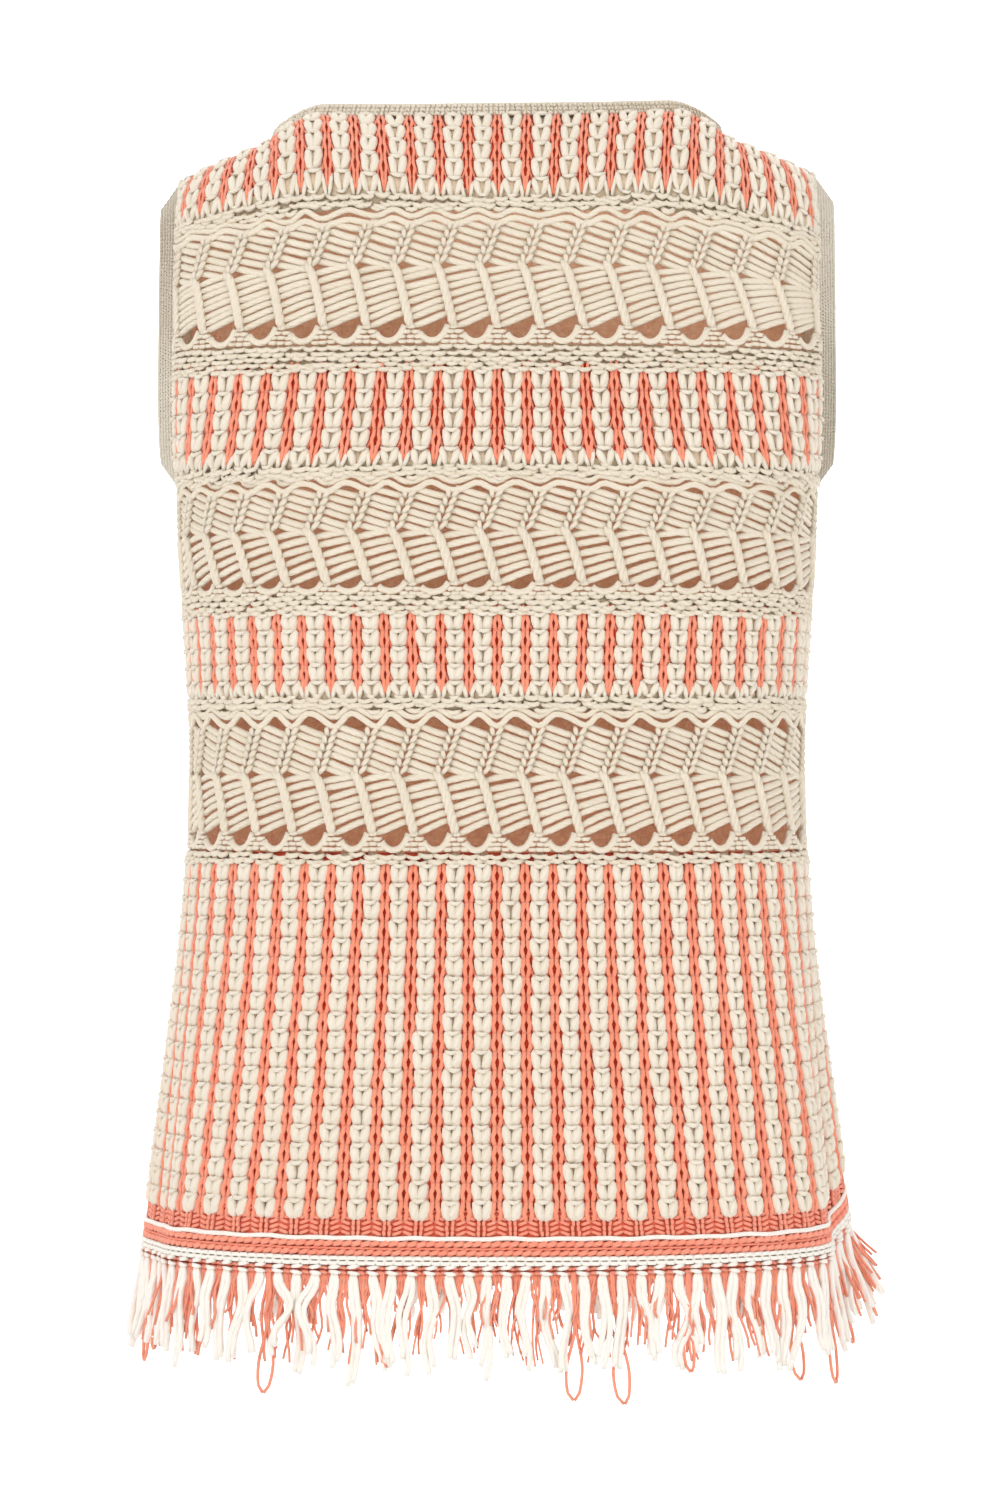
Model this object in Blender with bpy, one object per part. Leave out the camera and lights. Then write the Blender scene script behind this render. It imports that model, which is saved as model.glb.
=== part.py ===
"""Sleeveless knit top with ribbed and lace bands and a fringed hem, open and hollow as when worn.

Metres, +Z up. The back of the garment faces -Y, and its left side lies at -X. The origin is
the middle of the neck, level with the shoulders. Heights are measured down from there.

Cloth is laid out on a panel by two numbers: how far across it lies, from -1 at the left side
seam to 1 at the right one, and its height at the middle of the panel.
"""

import math
from collections import namedtuple

import bmesh
import bpy
import numpy as np

BACK, FRONT = -1, 1
SEAM_GAP = 0.0003

# ---- The body, worked out from its section at a few heights ----
# Each row: height, half width, half depth, and how square the section is (2 is an ellipse).
Section = namedtuple("Section", "height half_width half_depth squareness")
SECTIONS = [
    Section(-0.640, 0.1890, 0.1080, 2.45),
    Section(-0.595, 0.1852, 0.1060, 2.45),
    Section(-0.540, 0.1786, 0.1020, 2.45),
    Section(-0.480, 0.1706, 0.0985, 2.45),
    Section(-0.415, 0.1630, 0.0955, 2.45),
    Section(-0.350, 0.1590, 0.0940, 2.45),
    Section(-0.290, 0.1604, 0.0960, 2.45),
    Section(-0.235, 0.1640, 0.0985, 2.45),
    Section(-0.195, 0.1656, 0.0990, 2.45),
    Section(-0.130, 0.1656, 0.0960, 2.40),
    Section(-0.060, 0.1650, 0.0850, 2.30),
]
YOKE_HEIGHT = -0.060  # above this the cloth rounds over to the shoulders and neck
UNDERARM_HEIGHT = -0.193
ARMHOLE_HALF_DEPTH = 0.038
SHOULDER_TIP_HEIGHT = -0.0285
SHOULDER_TIP_WIDTH = 0.1655
NECK_CORNER_HEIGHT = -0.0078
NECK_CREST_RISE = 0.0123  # the neckline rises towards the shoulders by this before it turns down
NECK_TURN_DOWN = 0.78
SHOULDER_TILT = 0.002  # the right shoulder sits this much above the middle, the left one below
NECK_HALF_WIDTH = 0.1185
NECK_SHARE = 19 / 30  # how much of a panel's top edge the neck takes
NECK_SQUARENESS = 1.6  # under 2 the neckline runs to a point at each shoulder
# Each row: the panel's side, the height and depth of the middle of its neckline.
Neckline = namedtuple("Neckline", "height half_depth")
NECKLINES = {BACK: Neckline(-0.0040, 0.066), FRONT: Neckline(-0.0190, 0.076)}
SHOULDER_ROLL = math.radians(84)  # how far the cloth turns over at the shoulder seam
NECK_ROLL = math.radians(45)

# ---- Folds: soft upright ridges (+) and troughs (-) that open towards the hem ----
# Place round the hem: -1 left side, 0 middle of the back, 1 right side, 2 middle of the front.
Fold = namedtuple("Fold", "around width depth top")
FOLDS = [
    Fold(0.86, 0.066, -0.0080, -0.37),
    Fold(1.05, 0.110, -0.0020, -0.37),
    Fold(-0.84, 0.070, -0.0045, -0.39),
    Fold(-0.45, 0.170, 0.0025, -0.40),
    Fold(0.38, 0.180, 0.0022, -0.42),
    Fold(1.42, 0.100, -0.0060, -0.38),
    Fold(1.74, 0.130, 0.0040, -0.36),
    Fold(2.28, 0.120, -0.0050, -0.40),
    Fold(2.62, 0.100, 0.0045, -0.37),
    Fold(-1.16, 0.080, -0.0050, -0.41),
]
SIDE_LIFT = 0.018  # the hem rides up at the right side
SIDE_LIFT_AROUND = 1.03
SIDE_LIFT_WIDTH = 0.15
SIDE_LIFT_TOP = -0.42
HEM_HEIGHT = -0.595

# ---- Knitting ----
RIBS = 30  # on each panel, a cream column with a recessed coral stripe beside it
COLUMNS = 2 * RIBS
LACE_CELL_COLUMNS = 3
WALL = 0.0020
RIB_RIDGE = 0.0014
RIB_GROOVE = -0.0005
EVERY_COLUMN = range(COLUMNS + 1)
SHARP_COLUMNS = range(52, COLUMNS)  # close points inside the wall, where the sharpest fold lies
EDGING_RELIEF = 0.0004
CHAIN_RELIEF = 0.0012
LACE_LEAN = 1.1  # columns by which the chains swing sideways at mid height
LACE_HOLE_COLUMN = 1

# Rows of a panel from the hem up, at the middle of the back. A lace row gives how far its
# chains swing, and holes tells whether the strip above the row has a gap in every cell. Only the
# back is open there: no daylight shows through both panels.
Row = namedtuple("Row", "height kind swing holes")
ROWS = [
    Row(-0.5610, "rib", 0.0, False),
    Row(-0.5060, "rib", 0.0, False),
    Row(-0.4450, "rib", 0.0, False),
    Row(-0.3870, "edging", 0.0, False),
    Row(-0.3790, "lace", 0.0, True),
    Row(-0.3715, "lace", 0.3, False),
    Row(-0.3440, "lace", 1.0, True),
    Row(-0.3394, "lace", 1.0, False),
    Row(-0.2990, "edging", 0.0, False),
    Row(-0.2560, "edging", 0.0, False),
    Row(-0.2490, "lace", 0.0, True),
    Row(-0.2430, "lace", 0.3, False),
    Row(-0.2240, "lace", 1.0, True),
    Row(-0.2194, "lace", 1.0, False),
    Row(-0.1930, "lace", 0.0, False),
    Row(-0.1800, "edging", 0.0, False),
    Row(-0.1330, "edging", 0.0, False),
    Row(-0.1235, "lace", 0.0, True),
    Row(-0.1165, "lace", 0.3, False),
    Row(-0.0855, "lace", 1.0, True),
    Row(-0.0805, "lace", 1.0, False),
    Row(-0.0600, "lace", 0.0, False),
    Row(-0.0480, "edging", 0.0, False),
    Row(-0.0330, "rib", 0.0, False),
    Row(-0.0200, "rib", 0.0, False),
    Row(-0.0085, "rib", 0.0, False),
]

# ---- Bands ----
ARMBAND_WIDTH = 0.0182
ARMBAND_OUT = 0.72  # how much the armband turns out to the side, against into the armhole
NECKBAND_WIDTH = 0.0064
NECKBAND_IN = 0.35
BAND_THICKNESS = 0.0030
BAND_CROWN = 0.0007
HEM_RIB_TOP, HEM_RIB_BOTTOM = -0.5613, -0.5740
TRIM_TOP, TRIM_BOTTOM = -0.5743, -0.5930
TRIM_BEAD = 0.0014

# ---- Fringe ----
FRINGE_TOP, FRINGE_ROOT = -0.5933, -0.5965
STRANDS = 60  # on each side of the garment
FRINGE_THICKNESS = 0.0028
STRAND_LENGTH = 0.040
STRAND_LENGTH_SWING = 0.009
STRAND_FLARE = 0.007
SIDE_FLARE = 0.011  # the strands stand further out where the hem rides up
SIDE_FLARE_WIDTH = 0.16
STRAND_SWAY = 0.0014
STRAND_TIP = 0.55

# Colours of the yarns, as linear values
BEIGE = (0.76, 0.66, 0.49, 1.0)
CREAM = (0.85, 0.78, 0.64, 1.0)
CORAL = (0.95, 0.24, 0.13, 1.0)
PALE = (0.92, 0.60, 0.48, 1.0)


# ---- Shapes ----


def ramp(value):
    """A soft step from 0 to 1."""
    value = np.clip(value, 0.0, 1.0)
    return value * value * (3.0 - 2.0 * value)


def section_at(height):
    """The table's section at any height, on a smooth curve through its rows."""
    heights = [row.height for row in SECTIONS]
    upper = int(np.clip(np.searchsorted(heights, height), 1, len(heights) - 1))
    low, high = SECTIONS[upper - 1], SECTIONS[upper]
    before, after = SECTIONS[max(upper - 2, 0)], SECTIONS[min(upper + 1, len(heights) - 1)]
    span = high.height - low.height
    along = float(np.clip((height - low.height) / span, 0.0, 1.0))
    values = []
    for column in ("half_width", "half_depth", "squareness"):
        start, end = getattr(low, column), getattr(high, column)
        rise_in = (end - getattr(before, column)) / (high.height - before.height) * span
        rise_out = (getattr(after, column) - start) / (after.height - low.height) * span
        values.append(
            start * (2 * along**3 - 3 * along**2 + 1)
            + rise_in * (along**3 - 2 * along**2 + along)
            + end * (3 * along**2 - 2 * along**3)
            + rise_out * (along**3 - along**2)
        )
    return Section(height, *values)


def quarter(half_width, half_depth, squareness, share):
    """Points of a section's quarter at these shares of its length, from the middle to the side."""
    angle = np.linspace(0.0, math.pi / 2, 121)
    x = half_width * np.sin(angle) ** (2 / squareness)
    y = half_depth * np.cos(angle) ** (2 / squareness)
    length = np.concatenate([[0.0], np.cumsum(np.hypot(np.diff(x), np.diff(y)))])
    at = np.asarray(share) * length[-1]
    return np.interp(at, length, x), np.interp(at, length, y)


def armhole_depth(height):
    """How far the edge of a panel stands back from the side at this height."""
    middle = (UNDERARM_HEIGHT + SHOULDER_TIP_HEIGHT) / 2
    reach = (SHOULDER_TIP_HEIGHT - UNDERARM_HEIGHT) / 2
    level = abs(height - middle) / reach
    if height <= UNDERARM_HEIGHT or level >= 1.0:
        return 0.0
    return ARMHOLE_HALF_DEPTH * math.sqrt(1.0 - level**2.4)


def body_row(height, share):
    """x, depth and z of a level row of the body."""
    section = section_at(height)
    edge = armhole_depth(height)
    x, depth = quarter(section.half_width, section.half_depth - edge, section.squareness, share)
    return np.stack([x, depth + edge, np.full_like(x, height)], axis=-1)


def top_row(side, share):
    """x, depth and z of a panel's top edge: half the neckline, then the shoulder seam."""
    neckline = NECKLINES[side]
    neck = np.clip(share / NECK_SHARE, 0.0, 1.0)
    even, _ = quarter(NECK_HALF_WIDTH, neckline.half_depth, NECK_SQUARENESS, neck)
    x = 0.3 * even + 0.7 * NECK_HALF_WIDTH * neck
    level = x / NECK_HALF_WIDTH
    depth = neckline.half_depth * np.clip(1.0 - level**NECK_SQUARENESS, 0.0, 1.0) ** (1 / NECK_SQUARENESS)
    crest = NECK_CORNER_HEIGHT + NECK_CREST_RISE
    turned = np.clip((level - NECK_TURN_DOWN) / (1.0 - NECK_TURN_DOWN), 0.0, 1.0) ** 1.6
    z = neckline.height + (crest - neckline.height) * level**2 - NECK_CREST_RISE * turned
    shoulder = np.clip((share - NECK_SHARE) / (1.0 - NECK_SHARE), 0.0, 1.0)
    x = x + (SHOULDER_TIP_WIDTH - NECK_HALF_WIDTH) * shoulder
    z = z + (SHOULDER_TIP_HEIGHT - NECK_CORNER_HEIGHT) * shoulder
    return np.stack([x, depth, z], axis=-1)


def cloth_row(side, height, across):
    """Points of one row of a panel before its folds."""
    across = np.asarray(across, float)
    share = np.abs(across)
    if height <= YOKE_HEIGHT:
        row = body_row(height, share)
    else:
        low = body_row(YOKE_HEIGHT, share)
        top = top_row(side, share)
        turn = NECK_ROLL + (SHOULDER_ROLL - NECK_ROLL) * ramp(share / NECK_SHARE)
        part = turn * (height - YOKE_HEIGHT) / (ROWS[-1].height - YOKE_HEIGHT)
        rise = (np.sin(part) / np.sin(turn))[:, None]
        roll = ((1.0 - np.cos(part)) / (1.0 - np.cos(turn)))[:, None]
        share_of_top = np.concatenate([roll, roll, rise], axis=1)
        row = low + (top - low) * share_of_top
        row[:, 2] += SHOULDER_TILT * across * rise[:, 0]
    row[:, 0] *= np.sign(across)
    row[:, 1] *= side
    return row


def around_hem(side, across):
    """Place round the hem: -1 left side, 0 middle of the back, 1 right side, 2 middle of the front."""
    return across if side == BACK else 2.0 - across


def hem_distance(side, across, place):
    return (around_hem(side, across) - place + 2.0) % 4.0 - 2.0


def fold_depth(side, height, across):
    total = np.zeros_like(across)
    for fold in FOLDS:
        near = np.exp(-((hem_distance(side, across, fold.around) / fold.width) ** 2))
        total += fold.depth * near * ramp((fold.top - height) / (fold.top - HEM_HEIGHT))
    return total


def side_lift(side, height, across):
    near = np.exp(-((hem_distance(side, across, SIDE_LIFT_AROUND) / SIDE_LIFT_WIDTH) ** 2))
    return SIDE_LIFT * near * ramp((SIDE_LIFT_TOP - height) / (SIDE_LIFT_TOP - HEM_HEIGHT))


def cloth(side, height, across, out):
    """Points that stand out from a panel's base surface by the given distances."""
    across = np.asarray(across, float)
    out = np.broadcast_to(np.asarray(out, float), across.shape)
    step = 0.004
    low = max(height - step, SECTIONS[0].height)
    high = min(height + step, ROWS[-1].height)
    left = cloth_row(side, height, np.clip(across - step, -1, 1))
    right = cloth_row(side, height, np.clip(across + step, -1, 1))
    upward = cloth_row(side, high, across) - cloth_row(side, low, across)
    normal = np.cross(upward, right - left) * side
    normal /= np.linalg.norm(normal, axis=1)[:, None]
    points = cloth_row(side, height, across)
    points = points + normal * (out + fold_depth(side, height, across))[:, None]
    points[:, 2] += side_lift(side, height, across)
    return on_seam(side, height, across, points)


def on_seam(side, height, across, points):
    """Keeps the cut edges at the side and shoulder seams flat, half the gap from the seam."""
    at_side = (np.abs(across) > 1 - 1e-9) & (height <= UNDERARM_HEIGHT + 1e-9)
    at_shoulder = (np.abs(across) > NECK_SHARE - 1e-9) & (height >= ROWS[-1].height - 1e-9)
    seam = at_side | at_shoulder
    least = side * SEAM_GAP / 2
    points[:, 1] = np.where(seam, least, points[:, 1])
    crossed = points[:, 1] * side < SEAM_GAP / 2
    points[:, 1] = np.where(crossed, least, points[:, 1])
    return points


# ---- Meshes ----


class Body:
    """A closed mesh in the making."""

    def __init__(self):
        self.mesh = bmesh.new()

    def points(self, coordinates):
        return [self.mesh.verts.new(point) for point in coordinates]

    def face(self, corners):
        self.mesh.faces.new(corners)

    def loft(self, ring, next_ring):
        """Quads between two closed rings."""
        for index in range(len(ring)):
            after = (index + 1) % len(ring)
            self.face([ring[index], ring[after], next_ring[after], next_ring[index]])

    def finish(self, name, colour):
        loose = [vert for vert in self.mesh.verts if not vert.link_faces]
        bmesh.ops.delete(self.mesh, geom=loose, context="VERTS")
        bmesh.ops.recalc_face_normals(self.mesh, faces=self.mesh.faces[:])
        data = bpy.data.meshes.new(name)
        self.mesh.to_mesh(data)
        self.mesh.free()
        data.shade_smooth()
        data.set_sharp_from_angle(angle=math.radians(50))
        data.materials.append(yarn(name, colour))
        solid = bpy.data.objects.new(name, data)
        garment.objects.link(solid)
        return solid


def yarn(name, colour):
    material = bpy.data.materials.new(name + "_yarn")
    material.use_nodes = True
    shader = material.node_tree.nodes["Principled BSDF"]
    shader.inputs["Base Color"].default_value = colour
    shader.inputs["Roughness"].default_value = 0.85
    shader.inputs["Metallic"].default_value = 0.0
    return material


def stops(columns, extra):
    """The columns where the plain inside has a point: every third, and those in extra."""
    return sorted(set(range(0, columns + 1, LACE_CELL_COLUMNS)) | set(extra))


def wall(body, outer, inner, hole_columns, extra_points):
    """A cloth wall from grids of outer and inner points, with the listed quads of a strip cut through.

    The inside is plain: its faces reach across a whole cell of three columns. Rows in
    extra_points keep more of their points, to follow a sharp fold or to fit a piece beyond a seam.
    """
    rows, columns = len(outer), len(outer[0]) - 1
    outside = [body.points(row) for row in outer]
    inside = [body.points(row) for row in inner]
    corners = [set(extra_points.get(row, ())) for row in range(rows)]
    for strip, holes in hole_columns.items():
        for column in holes:
            corners[strip] |= {column, column + 1}
            corners[strip + 1] |= {column, column + 1}
    kept = [stops(columns, extra) for extra in corners]

    for strip in range(rows - 1):
        holes = hole_columns.get(strip, [])
        for column in range(columns):
            low, high = outside[strip], outside[strip + 1]
            if column not in holes:
                body.face([low[column], low[column + 1], high[column + 1], high[column]])
        edges = stops(columns, [c for hole in holes for c in (hole, hole + 1)])
        for start, end in zip(edges, edges[1:]):
            if start in holes:
                cut_through(body, outside, inside, strip, start)
                continue
            low = [inside[strip][c] for c in kept[strip] if start <= c <= end]
            high = [inside[strip + 1][c] for c in kept[strip + 1] if start <= c <= end]
            body.face(high + low[::-1])
        for column in (0, columns):
            body.face(
                [
                    outside[strip][column],
                    outside[strip + 1][column],
                    inside[strip + 1][column],
                    inside[strip][column],
                ]
            )
    for row in (0, rows - 1):
        for start, end in zip(kept[row], kept[row][1:]):
            body.face(outside[row][start : end + 1] + [inside[row][end], inside[row][start]])


def cut_through(body, outside, inside, strip, column):
    """The four sides of a gap through the cloth."""
    loop = [(strip, column), (strip, column + 1), (strip + 1, column + 1), (strip + 1, column)]
    body.loft([outside[r][c] for r, c in loop], [inside[r][c] for r, c in loop])


# ---- Panels ----


def column_places(row):
    """Where a panel's columns lie across one row. In lace the chains swing to the left."""
    index = np.arange(COLUMNS + 1, dtype=float)
    inner = np.minimum(index, COLUMNS - index) / (2.0 * LACE_CELL_COLUMNS)
    swing = row.swing * LACE_LEAN * np.clip(inner, 0.0, 1.0)
    return (index - swing) / RIBS - 1.0


def relief(row):
    """How far each column's point stands out: rib ridges, lace chains, or a low edging."""
    index = np.arange(COLUMNS + 1)
    if row.kind == "rib":
        return np.where(index % 2 == 1, RIB_RIDGE, RIB_GROOVE)
    if row.kind == "lace":
        return np.where(index % LACE_CELL_COLUMNS == 0, CHAIN_RELIEF, 0.0)
    return np.where(index % 2 == 1, RIB_RIDGE, EDGING_RELIEF)


def panel(side, name):
    outer, inner, holes, extra_points = [], [], {}, {len(ROWS) - 1: EVERY_COLUMN}
    for number, row in enumerate(ROWS):
        across = column_places(row)
        outer.append(cloth(side, row.height, across, relief(row)))
        inner.append(cloth(side, row.height, across, -WALL))
        if row.holes and side == BACK:
            holes[number] = list(range(LACE_HOLE_COLUMN, COLUMNS, LACE_CELL_COLUMNS))
        if side == BACK and row.height < FOLDS[0].top:
            extra_points[number] = SHARP_COLUMNS
    body = Body()
    wall(body, outer, inner, holes, extra_points)
    return body.finish(name, CREAM)


# ---- Neckband and armbands ----


def toward(point, centre):
    direction = centre - point
    return direction / np.linalg.norm(direction)


def band(name, stations, colour):
    """A closed loop of cloth. Each station: the edge's outer and inner point, and its way out."""
    body = Body()
    rings = []
    for outer, inner, way in stations:
        thick = (outer - inner) / np.linalg.norm(outer - inner)
        middle = (outer + inner) / 2
        near = middle + way * SEAM_GAP * 4
        far = middle + way * band_width(name)
        half = thick * BAND_THICKNESS / 2
        crown = (near + far) / 2 + half + thick * BAND_CROWN
        rings.append(body.points([near - half, near + half, crown, far + half * 0.7, far - half * 0.7]))
    for ring, next_ring in zip(rings, rings[1:] + rings[:1]):
        body.loft(ring, next_ring)
    return body.finish(name, colour)


def band_width(name):
    return NECKBAND_WIDTH if name == "neckband" else ARMBAND_WIDTH


def edge_points(side, row, across):
    across = np.array([across])
    outer = cloth(side, row.height, across, 0.0005)[0]
    inner = cloth(side, row.height, across, -WALL)[0]
    return outer, inner


def armband(end, name):
    """end is -1 for the left armhole and 1 for the right one."""
    centre = np.array([0.0, 0.0, (UNDERARM_HEIGHT + SHOULDER_TIP_HEIGHT) / 2])
    rising = [row for row in ROWS if row.height >= UNDERARM_HEIGHT - 1e-9]
    walk = [(BACK, row) for row in rising] + [(FRONT, row) for row in rising[::-1]]
    stations = []
    for side, row in walk:
        outer, inner = edge_points(side, row, float(end))
        middle = (outer + inner) / 2
        inward = toward(np.array([0.0, middle[1], middle[2]]), centre)
        way = np.array([end * ARMBAND_OUT, 0.0, 0.0]) + inward
        way /= np.linalg.norm(way)
        at_seam = row in (rising[0], rising[-1])
        if at_seam:
            way[1] = 0.0
            way /= np.linalg.norm(way)
        stations.append((outer, inner, way))
    return band(name, stations, BEIGE)


def neckband():
    top = ROWS[-1]
    columns = np.arange(-NECK_SHARE, NECK_SHARE + 1e-9, 1.0 / RIBS)
    walk = [(BACK, place) for place in columns] + [(FRONT, place) for place in columns[::-1]]
    stations = []
    for side, place in walk:
        outer, inner = edge_points(side, top, place)
        middle = (outer + inner) / 2
        inward = toward(np.array([middle[0], middle[1], 0.0]), np.zeros(3))
        way = np.array([0.0, 0.0, 1.0]) + inward * NECKBAND_IN
        stations.append((outer, inner, way / np.linalg.norm(way)))
    return band("neckband", stations, BEIGE)


# ---- Hem rib, trim and fringe ----


def hem_strip(side, name, levels, colour):
    """A strip below a panel. Each level: its height, and how far its odd and even columns stand out."""
    index = np.arange(COLUMNS + 1)
    across = index / RIBS - 1.0
    outer, inner = [], []
    for height, ridge, groove in levels:
        outer.append(cloth(side, height, across, np.where(index % 2 == 1, ridge, groove)))
        inner.append(cloth(side, height, across, -WALL))
    extra_points = {row: SHARP_COLUMNS for row in range(len(levels)) if side == BACK}
    if levels[0][0] == TRIM_BOTTOM:
        extra_points[0] = EVERY_COLUMN
    body = Body()
    wall(body, outer, inner, {}, extra_points)
    return body.finish(name, colour)


def hem_rib(side, name):
    levels = [(HEM_RIB_BOTTOM, 0.0007, 0.0), (HEM_RIB_TOP, 0.0007, 0.0)]
    return hem_strip(side, name, levels, CORAL)


def hem_trim(side, name):
    middle = (TRIM_TOP + TRIM_BOTTOM) / 2
    levels = [
        (TRIM_BOTTOM, TRIM_BEAD * 0.5, TRIM_BEAD * 0.5),
        (middle, TRIM_BEAD, TRIM_BEAD),
        (TRIM_TOP, TRIM_BEAD * 0.4, TRIM_BEAD * 0.4),
    ]
    return hem_strip(side, name, levels, PALE)


def strand_swing(number, rate):
    """An uneven but repeatable swing between -1 and 1 for each strand."""
    return math.sin(number * rate) * math.cos(number * rate * 0.37 + 1.0)


def strand(body, root, number, side, outward, flare):
    """A four-sided strand from a root face of the strip: it bends, flares out and thins."""
    centre = sum((vert.co for vert in root), root[0].co * 0.0) / 4
    length = STRAND_LENGTH + STRAND_LENGTH_SWING * strand_swing(number, 2.3)
    along = (root[1].co - root[0].co).normalized()
    sway = along * STRAND_SWAY * strand_swing(number + 7 * side, 1.7)
    rings = [root]
    for drop, swing, thin in ((0.5, 1.0, 0.85), (1.0, -0.6, STRAND_TIP)):
        shift = sway * swing + outward * flare * drop**1.5
        shift.z -= length * drop
        rings.append(body.points([centre + (vert.co - centre) * thin + shift for vert in root]))
    for ring, next_ring in zip(rings, rings[1:]):
        body.loft(ring, next_ring)
    body.face(rings[-1])


def fringe(side, name):
    """A narrow strip under the trim, with a strand fused to every second column of its lower edge."""
    count = 2 * STRANDS
    root_places = np.arange(count + 1) / STRANDS - 1.0
    top_places = root_places[::2]
    faces_out = FRINGE_THICKNESS - WALL
    body = Body()
    outer_root = body.points(cloth(side, FRINGE_ROOT, root_places, faces_out))
    inner_root = body.points(cloth(side, FRINGE_ROOT, root_places, -WALL))
    outer_top = body.points(cloth(side, FRINGE_TOP, top_places, faces_out))
    inner_top = body.points(cloth(side, FRINGE_TOP, top_places, -WALL))
    near_lift = hem_distance(side, root_places, SIDE_LIFT_AROUND) / SIDE_FLARE_WIDTH
    flare = STRAND_FLARE + SIDE_FLARE * np.exp(-(near_lift**2))

    for pair in range(STRANDS):
        first, last = 2 * pair, 2 * pair + 2
        for top, root in ((outer_top, outer_root), (inner_top, inner_root)):
            body.face([top[pair], top[pair + 1]] + root[first : last + 1][::-1])
        body.face([outer_top[pair], outer_top[pair + 1], inner_top[pair + 1], inner_top[pair]])
    for column in range(count):
        below = [outer_root[column], outer_root[column + 1], inner_root[column + 1], inner_root[column]]
        if column % 2 == 0 or column == count - 1:
            body.face(below)
            continue
        outward = (outer_root[column].co - inner_root[column].co).normalized()
        strand(body, below, column, side, outward, flare[column])
    for top, root in ((0, 0), (-1, -1)):
        body.face([outer_top[top], outer_root[root], inner_root[root], inner_top[top]])
    return body.finish(name, PALE)


# ---- The garment ----

for old in list(bpy.data.objects):
    bpy.data.objects.remove(old, do_unlink=True)
garment = bpy.data.collections.new("sleeveless_knit_top")
bpy.context.scene.collection.children.link(garment)

for facing, facing_name in ((BACK, "back"), (FRONT, "front")):
    panel(facing, facing_name + "_panel")
    hem_rib(facing, "hem_rib_" + facing_name)
    hem_trim(facing, "hem_trim_" + facing_name)
    fringe(facing, "fringe_" + facing_name)
neckband()
armband(-1, "armband_left")
armband(1, "armband_right")
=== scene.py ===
"""The looks of a sleeveless knit top: thick yarn stitches, lace bars and chains, bands and fringe.

Metres, +Z up; the back of the garment faces -Y. Stitches are laid out on the cloth by how far
across a panel they lie (-1 left side seam, 1 right side seam), by their height, and by how far
they stand out from the cloth.
"""

import math
from collections import namedtuple

import bmesh
import bpy
import numpy as np
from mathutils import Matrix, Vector


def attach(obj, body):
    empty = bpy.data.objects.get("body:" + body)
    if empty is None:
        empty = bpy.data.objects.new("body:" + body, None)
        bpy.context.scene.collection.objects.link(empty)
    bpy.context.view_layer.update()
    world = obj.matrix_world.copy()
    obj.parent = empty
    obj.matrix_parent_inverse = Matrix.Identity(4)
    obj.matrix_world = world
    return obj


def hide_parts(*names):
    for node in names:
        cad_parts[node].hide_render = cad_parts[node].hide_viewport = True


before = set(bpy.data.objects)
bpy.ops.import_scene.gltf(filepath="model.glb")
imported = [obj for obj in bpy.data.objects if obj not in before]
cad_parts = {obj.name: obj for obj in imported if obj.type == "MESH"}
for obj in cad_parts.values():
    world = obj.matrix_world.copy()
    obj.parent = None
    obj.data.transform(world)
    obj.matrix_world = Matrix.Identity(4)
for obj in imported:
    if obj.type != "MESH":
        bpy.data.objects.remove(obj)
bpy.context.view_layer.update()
draw = np.random.default_rng(11)

# ---- Camera: level with the waist, straight behind the garment ----
CAMERA_DISTANCE = 2.30
CAMERA_HEIGHT = -0.329
CAMERA_SIDE = 0.0015
FRAME_HEIGHT = 0.790  # of what the picture takes in at the garment's middle
SENSOR = 36.0

view = bpy.data.cameras.new("view")
view.sensor_fit = "VERTICAL"
view.sensor_height = SENSOR
view.lens = SENSOR * CAMERA_DISTANCE / FRAME_HEIGHT
camera = bpy.data.objects.new("view", view)
camera.location = (CAMERA_SIDE, -CAMERA_DISTANCE, CAMERA_HEIGHT)
camera.rotation_euler = (math.radians(90), 0, 0)
bpy.context.scene.collection.objects.link(camera)
bpy.context.scene.camera = camera

# ---- The cloth's form, as the solids have it ----
BACK, FRONT = -1, 1
SIDES = ((BACK, "back"), (FRONT, "front"))
Section = namedtuple("Section", "height half_width half_depth squareness")
SECTIONS = [
    Section(-0.640, 0.1890, 0.1080, 2.45),
    Section(-0.595, 0.1852, 0.1060, 2.45),
    Section(-0.540, 0.1786, 0.1020, 2.45),
    Section(-0.480, 0.1706, 0.0985, 2.45),
    Section(-0.415, 0.1630, 0.0955, 2.45),
    Section(-0.350, 0.1590, 0.0940, 2.45),
    Section(-0.290, 0.1604, 0.0960, 2.45),
    Section(-0.235, 0.1640, 0.0985, 2.45),
    Section(-0.195, 0.1656, 0.0990, 2.45),
    Section(-0.130, 0.1656, 0.0960, 2.40),
    Section(-0.060, 0.1650, 0.0850, 2.30),
]
YOKE_HEIGHT = -0.060
UNDERARM_HEIGHT = -0.193
ARMHOLE_HALF_DEPTH = 0.038
SHOULDER_TIP_HEIGHT = -0.0285
SHOULDER_TIP_WIDTH = 0.1655
NECK_CORNER_HEIGHT = -0.0078
NECK_CREST_RISE = 0.0123
NECK_TURN_DOWN = 0.78
SHOULDER_TILT = 0.002
NECK_HALF_WIDTH = 0.1185
NECK_SHARE = 19 / 30
NECK_SQUARENESS = 1.6
Neckline = namedtuple("Neckline", "height half_depth")
NECKLINES = {BACK: Neckline(-0.0040, 0.066), FRONT: Neckline(-0.0190, 0.076)}
SHOULDER_ROLL = math.radians(84)
NECK_ROLL = math.radians(45)
TOP_HEIGHT = -0.0085
HEM_HEIGHT = -0.595
LOW_HEIGHT = -0.602

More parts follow.
